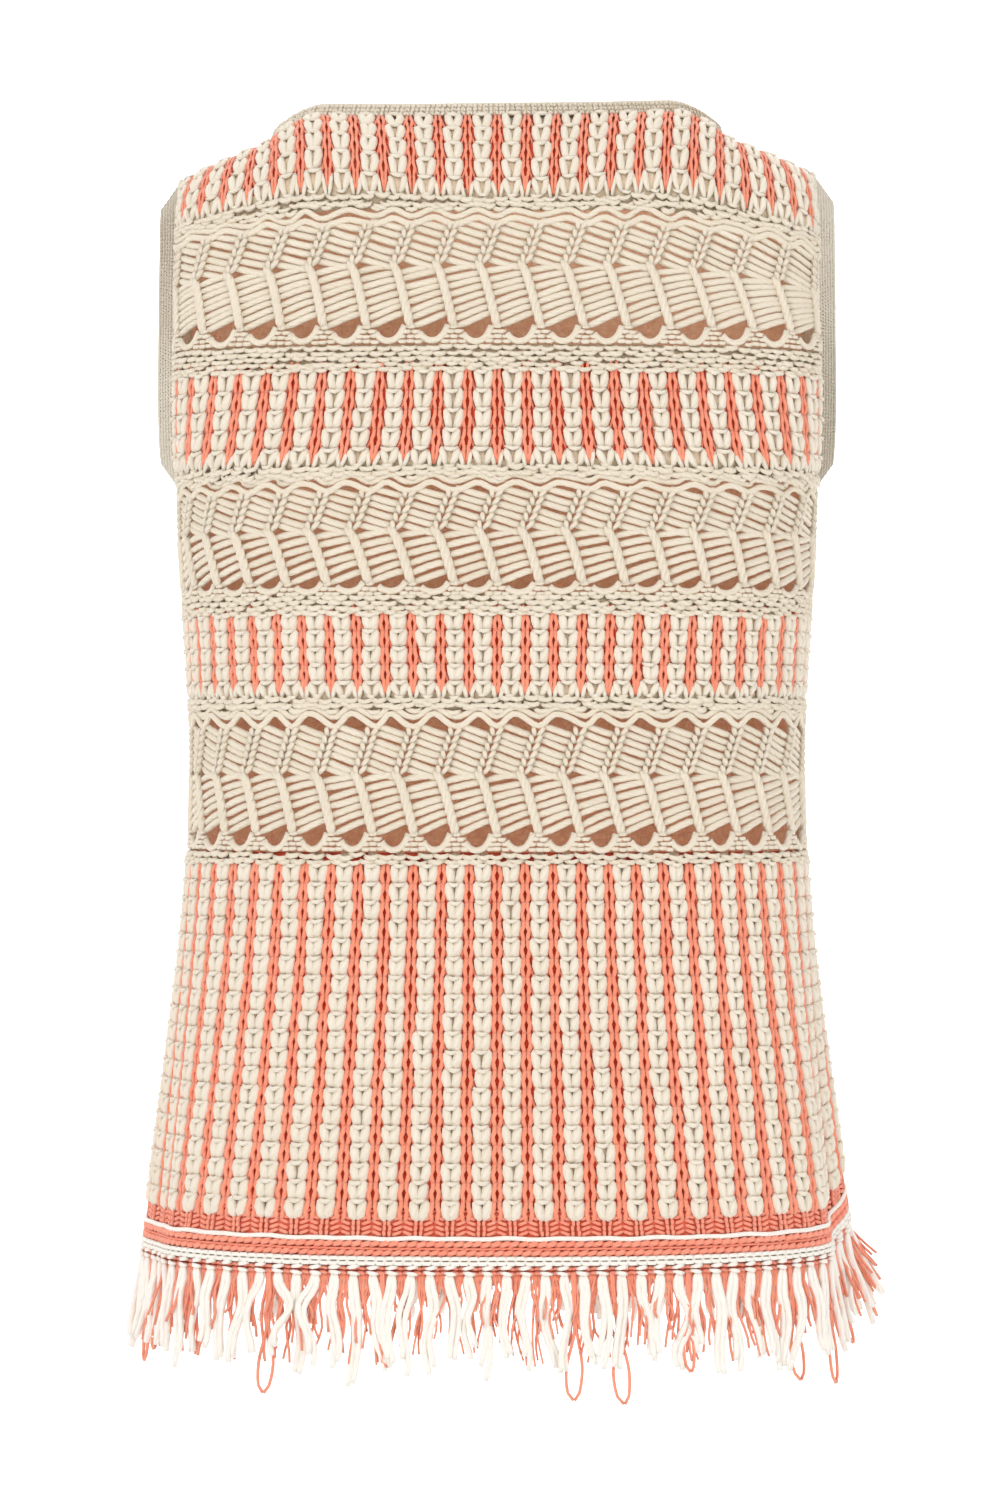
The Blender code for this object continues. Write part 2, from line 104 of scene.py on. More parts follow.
Fold = namedtuple("Fold", "around width depth top")
FOLDS = [
    Fold(0.86, 0.066, -0.0080, -0.37),
    Fold(1.05, 0.110, -0.0020, -0.37),
    Fold(-0.84, 0.070, -0.0045, -0.39),
    Fold(-0.45, 0.170, 0.0025, -0.40),
    Fold(0.38, 0.180, 0.0022, -0.42),
    Fold(1.42, 0.100, -0.0060, -0.38),
    Fold(1.74, 0.130, 0.0040, -0.36),
    Fold(2.28, 0.120, -0.0050, -0.40),
    Fold(2.62, 0.100, 0.0045, -0.37),
    Fold(-1.16, 0.080, -0.0050, -0.41),
]
SIDE_LIFT = 0.018
SIDE_LIFT_AROUND = 1.03
SIDE_LIFT_WIDTH = 0.15
SIDE_LIFT_TOP = -0.42


def ramp(value):
    value = np.clip(value, 0.0, 1.0)
    return value * value * (3.0 - 2.0 * value)


def section_at(height):
    heights = [row.height for row in SECTIONS]
    upper = int(np.clip(np.searchsorted(heights, height), 1, len(heights) - 1))
    low, high = SECTIONS[upper - 1], SECTIONS[upper]
    before, after = SECTIONS[max(upper - 2, 0)], SECTIONS[min(upper + 1, len(heights) - 1)]
    span = high.height - low.height
    along = float(np.clip((height - low.height) / span, 0.0, 1.0))
    values = []
    for column in ("half_width", "half_depth", "squareness"):
        start, end = getattr(low, column), getattr(high, column)
        rise_in = (end - getattr(before, column)) / (high.height - before.height) * span
        rise_out = (getattr(after, column) - start) / (after.height - low.height) * span
        values.append(
            start * (2 * along**3 - 3 * along**2 + 1)
            + rise_in * (along**3 - 2 * along**2 + along)
            + end * (3 * along**2 - 2 * along**3)
            + rise_out * (along**3 - along**2)
        )
    return Section(height, *values)


def quarter(half_width, half_depth, squareness, share):
    angle = np.linspace(0.0, math.pi / 2, 121)
    x = half_width * np.sin(angle) ** (2 / squareness)
    y = half_depth * np.cos(angle) ** (2 / squareness)
    length = np.concatenate([[0.0], np.cumsum(np.hypot(np.diff(x), np.diff(y)))])
    at = np.asarray(share) * length[-1]
    return np.interp(at, length, x), np.interp(at, length, y)


def armhole_depth(height):
    middle = (UNDERARM_HEIGHT + SHOULDER_TIP_HEIGHT) / 2
    reach = (SHOULDER_TIP_HEIGHT - UNDERARM_HEIGHT) / 2
    level = abs(height - middle) / reach
    if height <= UNDERARM_HEIGHT or level >= 1.0:
        return 0.0
    return ARMHOLE_HALF_DEPTH * math.sqrt(1.0 - level**2.4)


def body_row(height, share):
    section = section_at(height)
    edge = armhole_depth(height)
    x, depth = quarter(section.half_width, section.half_depth - edge, section.squareness, share)
    return np.stack([x, depth + edge, np.full_like(x, height)], axis=-1)


def top_row(side, share):
    neckline = NECKLINES[side]
    neck = np.clip(share / NECK_SHARE, 0.0, 1.0)
    even, _ = quarter(NECK_HALF_WIDTH, neckline.half_depth, NECK_SQUARENESS, neck)
    x = 0.3 * even + 0.7 * NECK_HALF_WIDTH * neck
    level = x / NECK_HALF_WIDTH
    depth = neckline.half_depth * np.clip(1.0 - level**NECK_SQUARENESS, 0.0, 1.0) ** (1 / NECK_SQUARENESS)
    crest = NECK_CORNER_HEIGHT + NECK_CREST_RISE
    turned = np.clip((level - NECK_TURN_DOWN) / (1.0 - NECK_TURN_DOWN), 0.0, 1.0) ** 1.6
    z = neckline.height + (crest - neckline.height) * level**2 - NECK_CREST_RISE * turned
    shoulder = np.clip((share - NECK_SHARE) / (1.0 - NECK_SHARE), 0.0, 1.0)
    x = x + (SHOULDER_TIP_WIDTH - NECK_HALF_WIDTH) * shoulder
    z = z + (SHOULDER_TIP_HEIGHT - NECK_CORNER_HEIGHT) * shoulder
    return np.stack([x, depth, z], axis=-1)


def cloth_row(side, height, across):
    share = np.abs(across)
    if height <= YOKE_HEIGHT:
        row = body_row(height, share)
    else:
        low = body_row(YOKE_HEIGHT, share)
        top = top_row(side, share)
        turn = NECK_ROLL + (SHOULDER_ROLL - NECK_ROLL) * ramp(share / NECK_SHARE)
        part = turn * (height - YOKE_HEIGHT) / (TOP_HEIGHT - YOKE_HEIGHT)
        rise = (np.sin(part) / np.sin(turn))[:, None]
        roll = ((1.0 - np.cos(part)) / (1.0 - np.cos(turn)))[:, None]
        row = low + (top - low) * np.concatenate([roll, roll, rise], axis=1)
        row[:, 2] += SHOULDER_TILT * across * rise[:, 0]
    row[:, 0] *= np.sign(across)
    row[:, 1] *= side
    return row


def hem_distance(side, across, place):
    around = across if side == BACK else 2.0 - across
    return (around - place + 2.0) % 4.0 - 2.0


def unit(vectors):
    return vectors / np.maximum(np.linalg.norm(vectors, axis=-1, keepdims=True), 1e-12)


class Form:
    """One panel's surface, looked up between the points of a fine net."""

    def __init__(self, side):
        self.heights = np.linspace(LOW_HEIGHT, TOP_HEIGHT, 300)
        self.across = np.linspace(-1.0, 1.0, 301)
        rows = np.stack([cloth_row(side, height, self.across) for height in self.heights])
        bare = self.normals(rows, side)
        for number, height in enumerate(self.heights):
            depth = np.zeros_like(self.across)
            for fold in FOLDS:
                near = np.exp(-((hem_distance(side, self.across, fold.around) / fold.width) ** 2))
                depth += fold.depth * near * ramp((fold.top - height) / (fold.top - HEM_HEIGHT))
            near = np.exp(-((hem_distance(side, self.across, SIDE_LIFT_AROUND) / SIDE_LIFT_WIDTH) ** 2))
            lift = SIDE_LIFT * near * ramp((SIDE_LIFT_TOP - height) / (SIDE_LIFT_TOP - HEM_HEIGHT))
            rows[number] += bare[number] * depth[:, None]
            rows[number, :, 2] += lift
        self.points = rows
        self.out = self.normals(rows, side)

    def normals(self, rows, side):
        up = np.gradient(rows, axis=0)
        right = np.gradient(rows, axis=1)
        return unit(np.cross(up, right) * side)

    def at(self, across, height, out=0.0):
        """Points and outward directions at places on the cloth."""
        across, height, out = np.broadcast_arrays(
            np.asarray(across, float), np.asarray(height, float), np.asarray(out, float)
        )
        step_h = self.heights[1] - self.heights[0]
        step_a = self.across[1] - self.across[0]
        row = (height - self.heights[0]) / step_h
        column = (np.clip(across, -1.0, 1.0) + 1.0) / step_a
        r = np.clip(row.astype(int), 0, len(self.heights) - 2)
        c = np.clip(column.astype(int), 0, len(self.across) - 2)
        fr, fc = (row - r)[..., None], (column - c)[..., None]

        def blend(net):
            low = net[r, c] * (1 - fc) + net[r, c + 1] * fc
            high = net[r + 1, c] * (1 - fc) + net[r + 1, c + 1] * fc
            return low * (1 - fr) + high * fr

        normal = unit(blend(self.out))
        return blend(self.points) + normal * out[..., None], normal


forms = {side: Form(side) for side, _ in SIDES}


# ---- Meshes of yarn ----


class Yarns:
    """Many tubes gathered in one mesh, with a map along the yarn for its twist."""

    def __init__(self, side=BACK):
        self.points, self.faces, self.maps, self.tones, self.count = [], [], [], [], 0
        self.fewer_sides = 1 if side == FRONT else 0  # the photo doesn't show the front

    def sweep(self, path, normal, radius, flat=1.0, sides=6, tone=0.0):
        """Tubes along paths of shape (tubes, knots, 3)."""
        sides = max(3, sides - self.fewer_sides)
        tubes, knots, _ = path.shape
        radius = np.broadcast_to(np.asarray(radius, float), (tubes, knots))
        forward = unit(np.gradient(path, axis=1))
        sideways = unit(np.cross(forward, normal))
        outward = np.cross(sideways, forward)
        turn = np.arange(sides) * 2 * math.pi / sides + math.pi / sides
        ring = (
            np.cos(turn)[:, None] * sideways[:, :, None, :]
            + np.sin(turn)[:, None] * outward[:, :, None, :] * flat
        )
        points = path[:, :, None, :] + radius[:, :, None, None] * ring
        start = self.count + np.arange(tubes)[:, None, None] * knots * sides
        along = start + np.arange(knots - 1)[None, :, None] * sides
        here = np.arange(sides)[None, None, :]
        after = (here + 1) % sides
        quads = np.stack([along + here, along + sides + here, along + sides + after, along + after], -1)
        self.faces.append(quads.reshape(-1, 4))
        first = start[:, 0, 0][:, None] + np.arange(sides)[None, :]
        last = first + (knots - 1) * sides
        self.faces += [first, last[:, ::-1]]
        length = np.concatenate(
            [np.zeros((tubes, 1)), np.cumsum(np.linalg.norm(np.diff(path, axis=1), axis=2), axis=1)], axis=1
        )
        u_low = np.broadcast_to(here / sides, quads.shape[:3])
        u_high = u_low + 1.0 / sides
        v_low = np.broadcast_to(length[:, :-1, None], quads.shape[:3])
        v_high = np.broadcast_to(length[:, 1:, None], quads.shape[:3])
        corners = ((u_low, v_low), (u_low, v_high), (u_high, v_high), (u_high, v_low))
        quad_map = np.stack([np.stack(corner, -1) for corner in corners], axis=3)
        self.maps.append(quad_map.reshape(-1, 2))
        self.maps.append(np.zeros((tubes * sides * 2, 2)))
        self.points.append(points.reshape(-1, 3))
        tone = np.broadcast_to(np.asarray(tone, float).reshape(-1, 1), (tubes, knots * sides))
        self.tones.append(tone.reshape(-1))
        self.count += tubes * knots * sides

    def piece(self, name, material, slot):
        mesh = make_mesh(name, np.concatenate(self.points), self.faces)
        layer = mesh.uv_layers.new(name="along")
        layer.data.foreach_set("uv", np.concatenate(self.maps).astype(np.float32).ravel())
        tone = mesh.attributes.new("tone", "FLOAT", "POINT")
        tone.data.foreach_set("value", np.concatenate(self.tones).astype(np.float32))
        return make_object(name, mesh, material)


def make_mesh(name, points, faces):
    """A smooth-shaded mesh from arrays of faces, each array with its own number of corners."""
    mesh = bpy.data.meshes.new(name)
    corners = np.concatenate([part.ravel() for part in faces])
    sizes = np.concatenate([np.full(len(part), part.shape[1]) for part in faces])
    starts = np.concatenate([[0], np.cumsum(sizes)[:-1]])
    mesh.vertices.add(len(points))
    mesh.vertices.foreach_set("co", np.asarray(points, np.float32).ravel())
    mesh.loops.add(len(corners))
    mesh.loops.foreach_set("vertex_index", corners.astype(np.int32))
    mesh.polygons.add(len(sizes))
    mesh.polygons.foreach_set("loop_start", starts.astype(np.int32))
    mesh.update(calc_edges=True)
    mesh.shade_smooth()
    return mesh


def make_object(name, mesh, material):
    piece = bpy.data.objects.new(name, mesh)
    bpy.context.scene.collection.objects.link(piece)
    for part in material if isinstance(material, (list, tuple)) else [material]:
        mesh.materials.append(part)
    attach(piece, "root")
    return piece


# ---- Materials ----


def srgb(code):
    """A linear colour from its usual six-digit code."""
    channels = [int(code[i : i + 2], 16) / 255 for i in (0, 2, 4)]
    linear = [c / 12.92 if c <= 0.04045 else ((c + 0.055) / 1.055) ** 2.4 for c in channels]
    return (*linear, 1.0)


def new_node(nodes, kind, **values):
    """A shader node with these values on its inputs. A name has _ for each space."""
    node = nodes.new("ShaderNode" + kind)
    for name, value in values.items():
        node.inputs[name.replace("_", " ")].default_value = value
    return node


def texture(nodes, links, kind, **values):
    """A texture laid over the piece by its own coordinates."""
    node = new_node(nodes, kind, **values)
    place = nodes.new("ShaderNodeTexCoord")
    links.new(place.outputs["Object"], node.inputs["Vector"])
    return node


def soft_shader(name, roughness, gloss, sheen):
    """A new material, its nodes and links, and its main shader."""
    material = bpy.data.materials.new(name)
    material.use_nodes = True
    nodes, links = material.node_tree.nodes, material.node_tree.links
    shader = nodes["Principled BSDF"]
    shader.inputs["Roughness"].default_value = roughness
    shader.inputs["Specular IOR Level"].default_value = gloss
    shader.inputs["Sheen Weight"].default_value = sheen
    return material, nodes, links, shader


def dress(nodes, links, shader, colours, value, reach, relief, strength, depth):
    """Colour from the first to the second as the value crosses its reach, and bump from the relief."""
    part = new_node(nodes, "MapRange", **reach)
    links.new(value, part.inputs["Value"])
    mix = nodes.new("ShaderNodeMix")
    mix.data_type = "RGBA"
    mix.inputs["A"].default_value, mix.inputs["B"].default_value = colours
    links.new(part.outputs[0], mix.inputs["Factor"])
    links.new(mix.outputs["Result"], shader.inputs["Base Color"])
    bump = new_node(nodes, "Bump", Strength=strength, Distance=depth)
    links.new(relief, bump.inputs["Height"])
    links.new(bump.outputs[0], shader.inputs["Normal"])


YARN_PLIES = 3.0
YARN_RELIEF, GROUND_RELIEF = 0.0005, 0.0008


def yarn_material(name, base, shade, pitch=0.0075, strength=0.35):
    """Soft cotton yarn: plies twisted round each other, fine fuzz, and uneven dye. Painted shade darkens the
    colour in the grooves between the plies and in the dips of the fuzz.
    """
    material, nodes, links, shader = soft_shader(name, roughness=0.82, gloss=0.25, sheen=0.25)
    shader.inputs["Sheen Roughness"].default_value = 0.6

    def math_node(operation, first, second=None):
        node = nodes.new("ShaderNodeMath")
        node.operation = operation
        for socket, value in zip(node.inputs, (first, second)):
            if isinstance(value, (int, float)):
                socket.default_value = value
            elif value is not None:
                links.new(value, socket)
        return node.outputs[0]

    along = nodes.new("ShaderNodeUVMap")
    along.uv_map = "along"
    parts = nodes.new("ShaderNodeSeparateXYZ")
    links.new(along.outputs[0], parts.inputs[0])
    around = math_node("MULTIPLY", parts.outputs[0], YARN_PLIES)
    length = math_node("MULTIPLY", parts.outputs[1], 1.0 / pitch)
    phase = math_node("MULTIPLY", math_node("ADD", around, length), 2 * math.pi)
    twist = math_node("MULTIPLY", math_node("ADD", math_node("SINE", phase), 1.0), 0.5)
    fuzz = texture(nodes, links, "TexNoise", Scale=1900.0, Detail=3.0).outputs[0]
    patch = texture(nodes, links, "TexNoise", Scale=60.0, Detail=2.0).outputs[0]
    tone = nodes.new("ShaderNodeAttribute")
    tone.attribute_name = "tone"

    # The twist and the fuzz raise the bump. Where they are low, the colour also goes to the darker shade:
    # painted shade in the grooves. The patches and the tone are uneven dye.
    ply_relief_and_groove_shade = math_node("ADD", math_node("MULTIPLY", twist, 0.5), math_node("MULTIPLY", fuzz, 0.5))
    wander = math_node("MULTIPLY", math_node("SUBTRACT", patch, 0.5), 0.5)
    # strength sets how much the painted groove shade darkens the colour.
    value = math_node("ADD", math_node("MULTIPLY", ply_relief_and_groove_shade, strength), wander)
    value = math_node("ADD", value, tone.outputs["Fac"])
    reach = {"From_Min": -0.25, "From_Max": 0.55}
    dress(nodes, links, shader, (shade, base), value, reach, ply_relief_and_groove_shade, 0.9, YARN_RELIEF)
    return material


def ground_material(name, base, shade):
    """The flat cloth seen between stitches and from inside: small rows of loops and fuzz. Each loop is darker
    towards its edge, where it sinks into the next: painted shade.
    """
    material, nodes, links, shader = soft_shader(name, roughness=0.9, gloss=0.2, sheen=0.2)
    loops = texture(nodes, links, "TexVoronoi", Scale=260.0).outputs["Distance"]
    fuzz = texture(nodes, links, "TexNoise", Scale=900.0, Detail=3.0).outputs[0]
    relief = nodes.new("ShaderNodeMath")
    relief.operation = "SUBTRACT"
    links.new(fuzz, relief.inputs[0])
    links.new(loops, relief.inputs[1])
    # The colour goes to the darker shade where the loops meet, just where the bump sinks: painted shade.
    dress(
        nodes, links, shader, (base, shade), loops, {"From_Max": 0.9}, relief.outputs[0], 0.8, GROUND_RELIEF
    )
    return material


cream = yarn_material("cream_cotton", srgb("F6ECDC"), srgb("E9DCC6"))
beige = yarn_material("beige_cotton", srgb("F3E8D5"), srgb("E3D4BC"), pitch=0.005)
band_beige = yarn_material("band_cotton", srgb("F3E9D8"), srgb("E2D5BF"), pitch=0.004)
coral = yarn_material("coral_cotton", srgb("FFA98A"), srgb("FF8865"), pitch=0.004)
hem_coral = yarn_material("hem_coral_cotton", srgb("FFAC90"), srgb("FF8C6E"), pitch=0.003)
white = yarn_material("fringe_cream", srgb("FFFAF2"), srgb("F8EFE2"), pitch=0.009, strength=0.45)
fringe_coral = yarn_material("fringe_coral", srgb("FFAA8C"), srgb("FA8F70"), pitch=0.006)
cream_ground = ground_material("cream_ground", srgb("ECD9C2"), srgb("D8BFA2"))
beige_ground = ground_material("beige_ground", srgb("EDDCC4"), srgb("DAC5A6"))
# Darker than the coral yarn, so the gaps between the stripes' strands and at the cells' corners show dark: the
# coral's own colour, with painted shade.
coral_ground = ground_material("coral_ground", srgb("EC6244"), srgb("D24A2E"))
inner_ground = ground_material("inner_ground", srgb("F8D3B4"), srgb("EEBD9C"))

# ---- Layout of the knitting ----
MM = 0.001
NOMINAL_REACH = 0.22  # metres from a panel's middle to its side seam

RibBand = namedtuple("RibBand", "low high rows ribs tapered")
SKIRT_RIBS = 30
RIB_BANDS = [
    RibBand(-0.5654, -0.3869, 19, SKIRT_RIBS, False),
    RibBand(-0.3026, -0.2600, 5, SKIRT_RIBS, True),
    RibBand(-0.1862, -0.1376, 5, 26, True),
    RibBand(-0.0508, -0.0090, 5, 26, True),
]
# Heights of a lace band. Each wave over it gives the height and swing of a scalloped yarn.
LaceBand = namedtuple("LaceBand", "rim foot middle top cell waves")
# Relief, widths of the cream columns and coral stripes, and thickness of the stripes
RibLook = namedtuple("RibLook", "relief column stripe thick")
YOKE_LOOK = RibLook(0.62, 1.12, 0.80, 0.80)
TAPERED_LOOK = RibLook(1.0, 1.06, 0.88, 0.92)
SKIRT_LOOK = RibLook(1.0, 1.0, 1.0, 1.0)
LACE_BANDS = [
    LaceBand(-0.3795, -0.3713, -0.3411, -0.3179, 0.1, ((-0.3170, 0.0064), (-0.3122, 0.0048))),
    LaceBand(-0.2490, -0.2446, -0.2178, -0.1979, 0.1, ((-0.1981, 0.0040), (-0.1936, 0.0034))),
    LaceBand(-0.1228, -0.1151, -0.0830, -0.0614, 0.1163, ((-0.0626, 0.0032), (-0.0588, 0.0028))),
]
LACE_LEAN = 0.36  # how far the chains swing to the left at mid height, in cells
CHAIN_HALF = 2.4 * MM


def lay(yarns, side, across, height, profile, rise, width, mirror=1.0, **choices):
    """One short yarn at each place, shaped by the profile's knots.

    Each knot gives how far sideways (in widths) and up (in rises) it lies, how far out it
    stands and how thick the yarn is (both in millimetres).
    """
    loose = choices.pop("loose", 0.03)
    tone = choices.pop("tone", 0.0)
    relief = choices.pop("relief", 1.0)
    thick = choices.pop("thick", 1.0)
    shape = np.asarray(profile, float) * (1.0, 1.0, relief, thick)
    across, height, mirror = np.broadcast_arrays(across, height, mirror)
    across, height, mirror = (np.asarray(part, float).ravel()[:, None] for part in (across, height, mirror))
    count = len(across)
    shift = np.clip(draw.normal(0.0, loose, (count, 4, 1)), -2.2 * loose, 2.2 * loose)
    bend = draw.normal(0.0, loose * 0.4, (2, count, len(shape)))
    size = stretch(side, across, height)
    a = across + ((shape[:, 0] + bend[0]) * mirror + shift[:, 0]) * width
    h = height + (shape[:, 1] + shift[:, 1] + bend[1]) * rise
    path, normal = on_cloth(side, a, h, shape[:, 2] * MM * (1.0 + shift[:, 2]))
    radius = shape[:, 3] * MM * size * (1.0 + shift[:, 3])
    tones = tone + draw.normal(0.0, 0.05, count)
    yarns.sweep(path, normal, radius, tone=tones, **choices)


def settle(across, height):
    """Rows near the armholes droop a little at the top of the garment."""
    reach = np.clip((np.abs(across) - 0.35) / 0.65, 0.0, 1.0) ** 1.6
    amount = np.where(across > 0.0, 0.014, 0.009)
    return height - amount * reach * ramp((height + 0.122) / 0.05) * ramp((TOP_HEIGHT - height) / 0.03)


def on_cloth(side, across, height, out):
    """Points on the cloth and its outward directions. Yarn may run past a seam to the next panel."""
    across, height, out = np.broadcast_arrays(across, height, out)
    height = settle(across, height)
    past = (np.abs(across) > 1.0) & (height < UNDERARM_HEIGHT)
    near, near_normal = forms[side].at(across, height, out)
    over = np.where(past, np.sign(across) * (2.0 - np.abs(across)), across)
    far, far_normal = forms[-side].at(over, height, out)
    pick = past[..., None]
    return np.where(pick, far, near), np.where(pick, far_normal, near_normal)


def stretch(side, across, height):
    """How wide the columns are here, against their usual width."""
    left, _ = on_cloth(side, np.clip(across - 0.03, -1, 0.94), height, 0.0)
    right, _ = on_cloth(side, np.clip(across - 0.03, -1, 0.94) + 0.06, height, 0.0)
    return np.clip(np.linalg.norm(right - left, axis=-1) / (0.06 * NOMINAL_REACH), 0.55, 1.15)


# ---- Rib bands: cream columns with coral stripes between them ----
# Each profile's knots give sideways, upward, out and thickness, as lay() takes them.


def arch(*knots):
    """A profile that is the same on both sides, from the knots of its middle and right half."""
    return [(-knot[0], *knot[1:]) for knot in reversed(knots) if knot[0] > 0] + list(knots)


PETAL = [
    (-0.150, 1.06, 0.0, 1.45),
    (-0.180, 0.86, 0.8, 2.40),
    (-0.162, 0.55, 1.1, 2.80),
    (-0.115, 0.22, 1.1, 2.50),
    (-0.035, 0.00, 0.5, 1.50),
]
SHORT_PETAL = [
    (-0.215, 0.98, 0.2, 1.3),
    (-0.200, 0.76, 1.0, 2.2),
    (-0.165, 0.50, 1.1, 2.3),
    (-0.110, 0.26, 0.7, 1.7),
    (-0.060, 0.10, 0.2, 1.1),
]
CAP = arch((0.0, 0.905, 2.9, 1.50), (0.120, 0.945, 2.5, 1.30), (0.215, 1.03, 1.2, 0.8))
SPOT = arch((0.06, 0.08, 1.0, 1.35), (0.16, 0.16, 0.4, 0.8))
STRIPE = [
    (-0.070, 1.14, -0.5, 1.10),
    (-0.080, 0.88, 0.0, 1.45),
    (-0.082, 0.68, 0.4, 1.55),
    (-0.142, 0.44, 0.7, 1.50),
    (-0.112, 0.22, 0.6, 1.45),
    (-0.070, -0.06, 0.0, 1.25),
]
STRIPE_END = [
    (-0.066, 1.12, 0.2, 1.30),
    (-0.080, 0.80, 0.6, 1.50),
    (-0.058, 0.48, 0.6, 1.30),
    (-0.018, 0.16, 0.2, 0.75),
]
STRIPE_START = [
    (-0.120, 0.52, 0.5, 1.00),
    (-0.105, 0.32, 0.5, 1.35),
    (-0.085, 0.10, 0.3, 1.45),
    (-0.070, -0.12, -0.3, 1.1),
]
WING = [
    (-0.07, 0.80, -0.9, 0.9),
    (-0.17, 0.42, -0.1, 1.25),
    (-0.255, 0.10, -0.1, 1.15),
    (-0.275, -0.05, -0.6, 0.7),
]
TAPER = [
    (-0.185, 0.86, 0.2, 0.8),
    (-0.150, 0.58, 0.9, 1.45),
    (-0.105, 0.26, 1.1, 1.55),
    (-0.065, -0.06, 0.5, 1.0),
]
BOTH = np.array([1.0, -1.0])[:, None]


def grid(columns, rows):
    columns, rows = np.meshgrid(columns, rows)
    return columns.ravel(), rows.ravel()


def ridges(ribs):
    """Middles of the cream columns."""
    return (2 * np.arange(ribs) + 1) / ribs - 1.0


def grooves(ribs, side, seams):
    """Middles of the coral stripes. The back carries those on the side seams."""
    ends = 1 if seams and side == BACK else 0
    return 2 * np.arange(1 - ends, ribs + ends) / ribs - 1.0


def rib_band(band, side, stitches, stripes):
    rise = (band.high - band.low) / band.rows
    bases = band.low + np.arange(band.rows) * rise
    width = 2.0 / band.ribs
    between = grooves(band.ribs, side, band.low < UNDERARM_HEIGHT)
    across, height = grid(ridges(band.ribs), bases)
    full = height > band.low + 0.5 * rise if band.tapered else height > -1.0
    look = YOKE_LOOK if band.low > YOKE_HEIGHT else TAPERED_LOOK if band.tapered else SKIRT_LOOK
    place = {"rise": rise, "width": width * look.column, "relief": look.relief}
    slim = {"rise": rise, "width": width * look.stripe, "relief": look.relief, "thick": look.thick}
    petals = across[full], height[full]
    lay(stitches, side, *petals, PETAL, mirror=BOTH, sides=5, flat=0.85, loose=0.026, **place)
    lay(stitches, side, across, height, CAP, sides=4, flat=0.85, loose=0.028, **place)
    across, height = grid(between, bases[1:] if band.tapered else bases)
    lay(stripes, side, across, height, STRIPE, mirror=BOTH, sides=4, loose=0.008, **slim)
    if side == BACK:
        lay(stripes, side, across, height, WING, mirror=BOTH, sides=3, loose=0.008, **slim)
    if band.tapered:
        short = ridges(band.ribs)
        lay(stitches, side, short, band.low, SHORT_PETAL, mirror=BOTH, sides=5, loose=0.028, **place)
        lay(stitches, side, short, band.low, SPOT, sides=4, loose=0.04, **place)
        lay(stripes, side, between, band.low, STRIPE_END, mirror=BOTH, sides=4, loose=0.010, **slim)
        lay(stitches, side, between, band.low, TAPER, mirror=BOTH, sides=4, loose=0.025, **place)
        if band.high < YOKE_HEIGHT:
            lay(stripes, side, between, band.high, STRIPE_START, mirror=BOTH, sides=4, loose=0.010, **slim)


# ---- Lace bands ----
LENS = arch((0.0, -0.16, 1.7, 1.92), (0.30, -0.02, 1.2, 1.68), (0.56, 0.34, 0.2, 1.10))
KNOB = arch((0.22, -0.02, 1.6, 1.45), (0.50, 0.20, 0.6, 0.95))
LOOP_COUNT = 60  # small loops along each edge row of a panel


def chain_across(places, cell, swing):
    """Where chains lie. They swing to the left, less beside the panel's edges."""
    inner = np.clip((1.0 - np.abs(places)) / (2 * cell), 0.0, 1.0)
    return places - swing * LACE_LEAN * cell * inner


def wave_height(band, number, across):
    """Height of a scalloped yarn: it rises steeply from each chain, then sags to the next."""
    uneven = 0.05 * np.sin(across * 23.0) + 0.04 * np.sin(across * 51.0 + 1.0)
    place = (across / band.cell - 0.06 + uneven) % 1.0
    wave = np.where(place < 0.42, ramp(place / 0.42), ramp((1.0 - place) / 0.58))
    low, swing = band.waves[number]
    return low + swing * wave + 0.35 * MM * np.sin(across * 67.0)


def bump_row(yarns, side, height, phase, over=None):
    """A row of small lens-shaped loops. over is the lace band whose waves it follows, up to height."""
    across = (np.arange(LOOP_COUNT) + phase) / LOOP_COUNT * 2.0 - 1.0
    across = across[(across > -0.995) & (across < 0.995)]
    if over:
        height = np.minimum(wave_height(over, 1, across) + 2.7 * MM, height)
    tilt = draw.normal(0.0, 0.35 * MM, len(across))
    lay(yarns, side, across, height + tilt, LENS, 2.8 * MM, 2.0 / LOOP_COUNT, sides=4, loose=0.10)


def run(yarns, side, across, height, out, radius, **choices):
    """Yarns through given knots on the cloth."""
    path, normal = on_cloth(side, across, height, out)
    yarns.sweep(path, normal, radius, **choices)


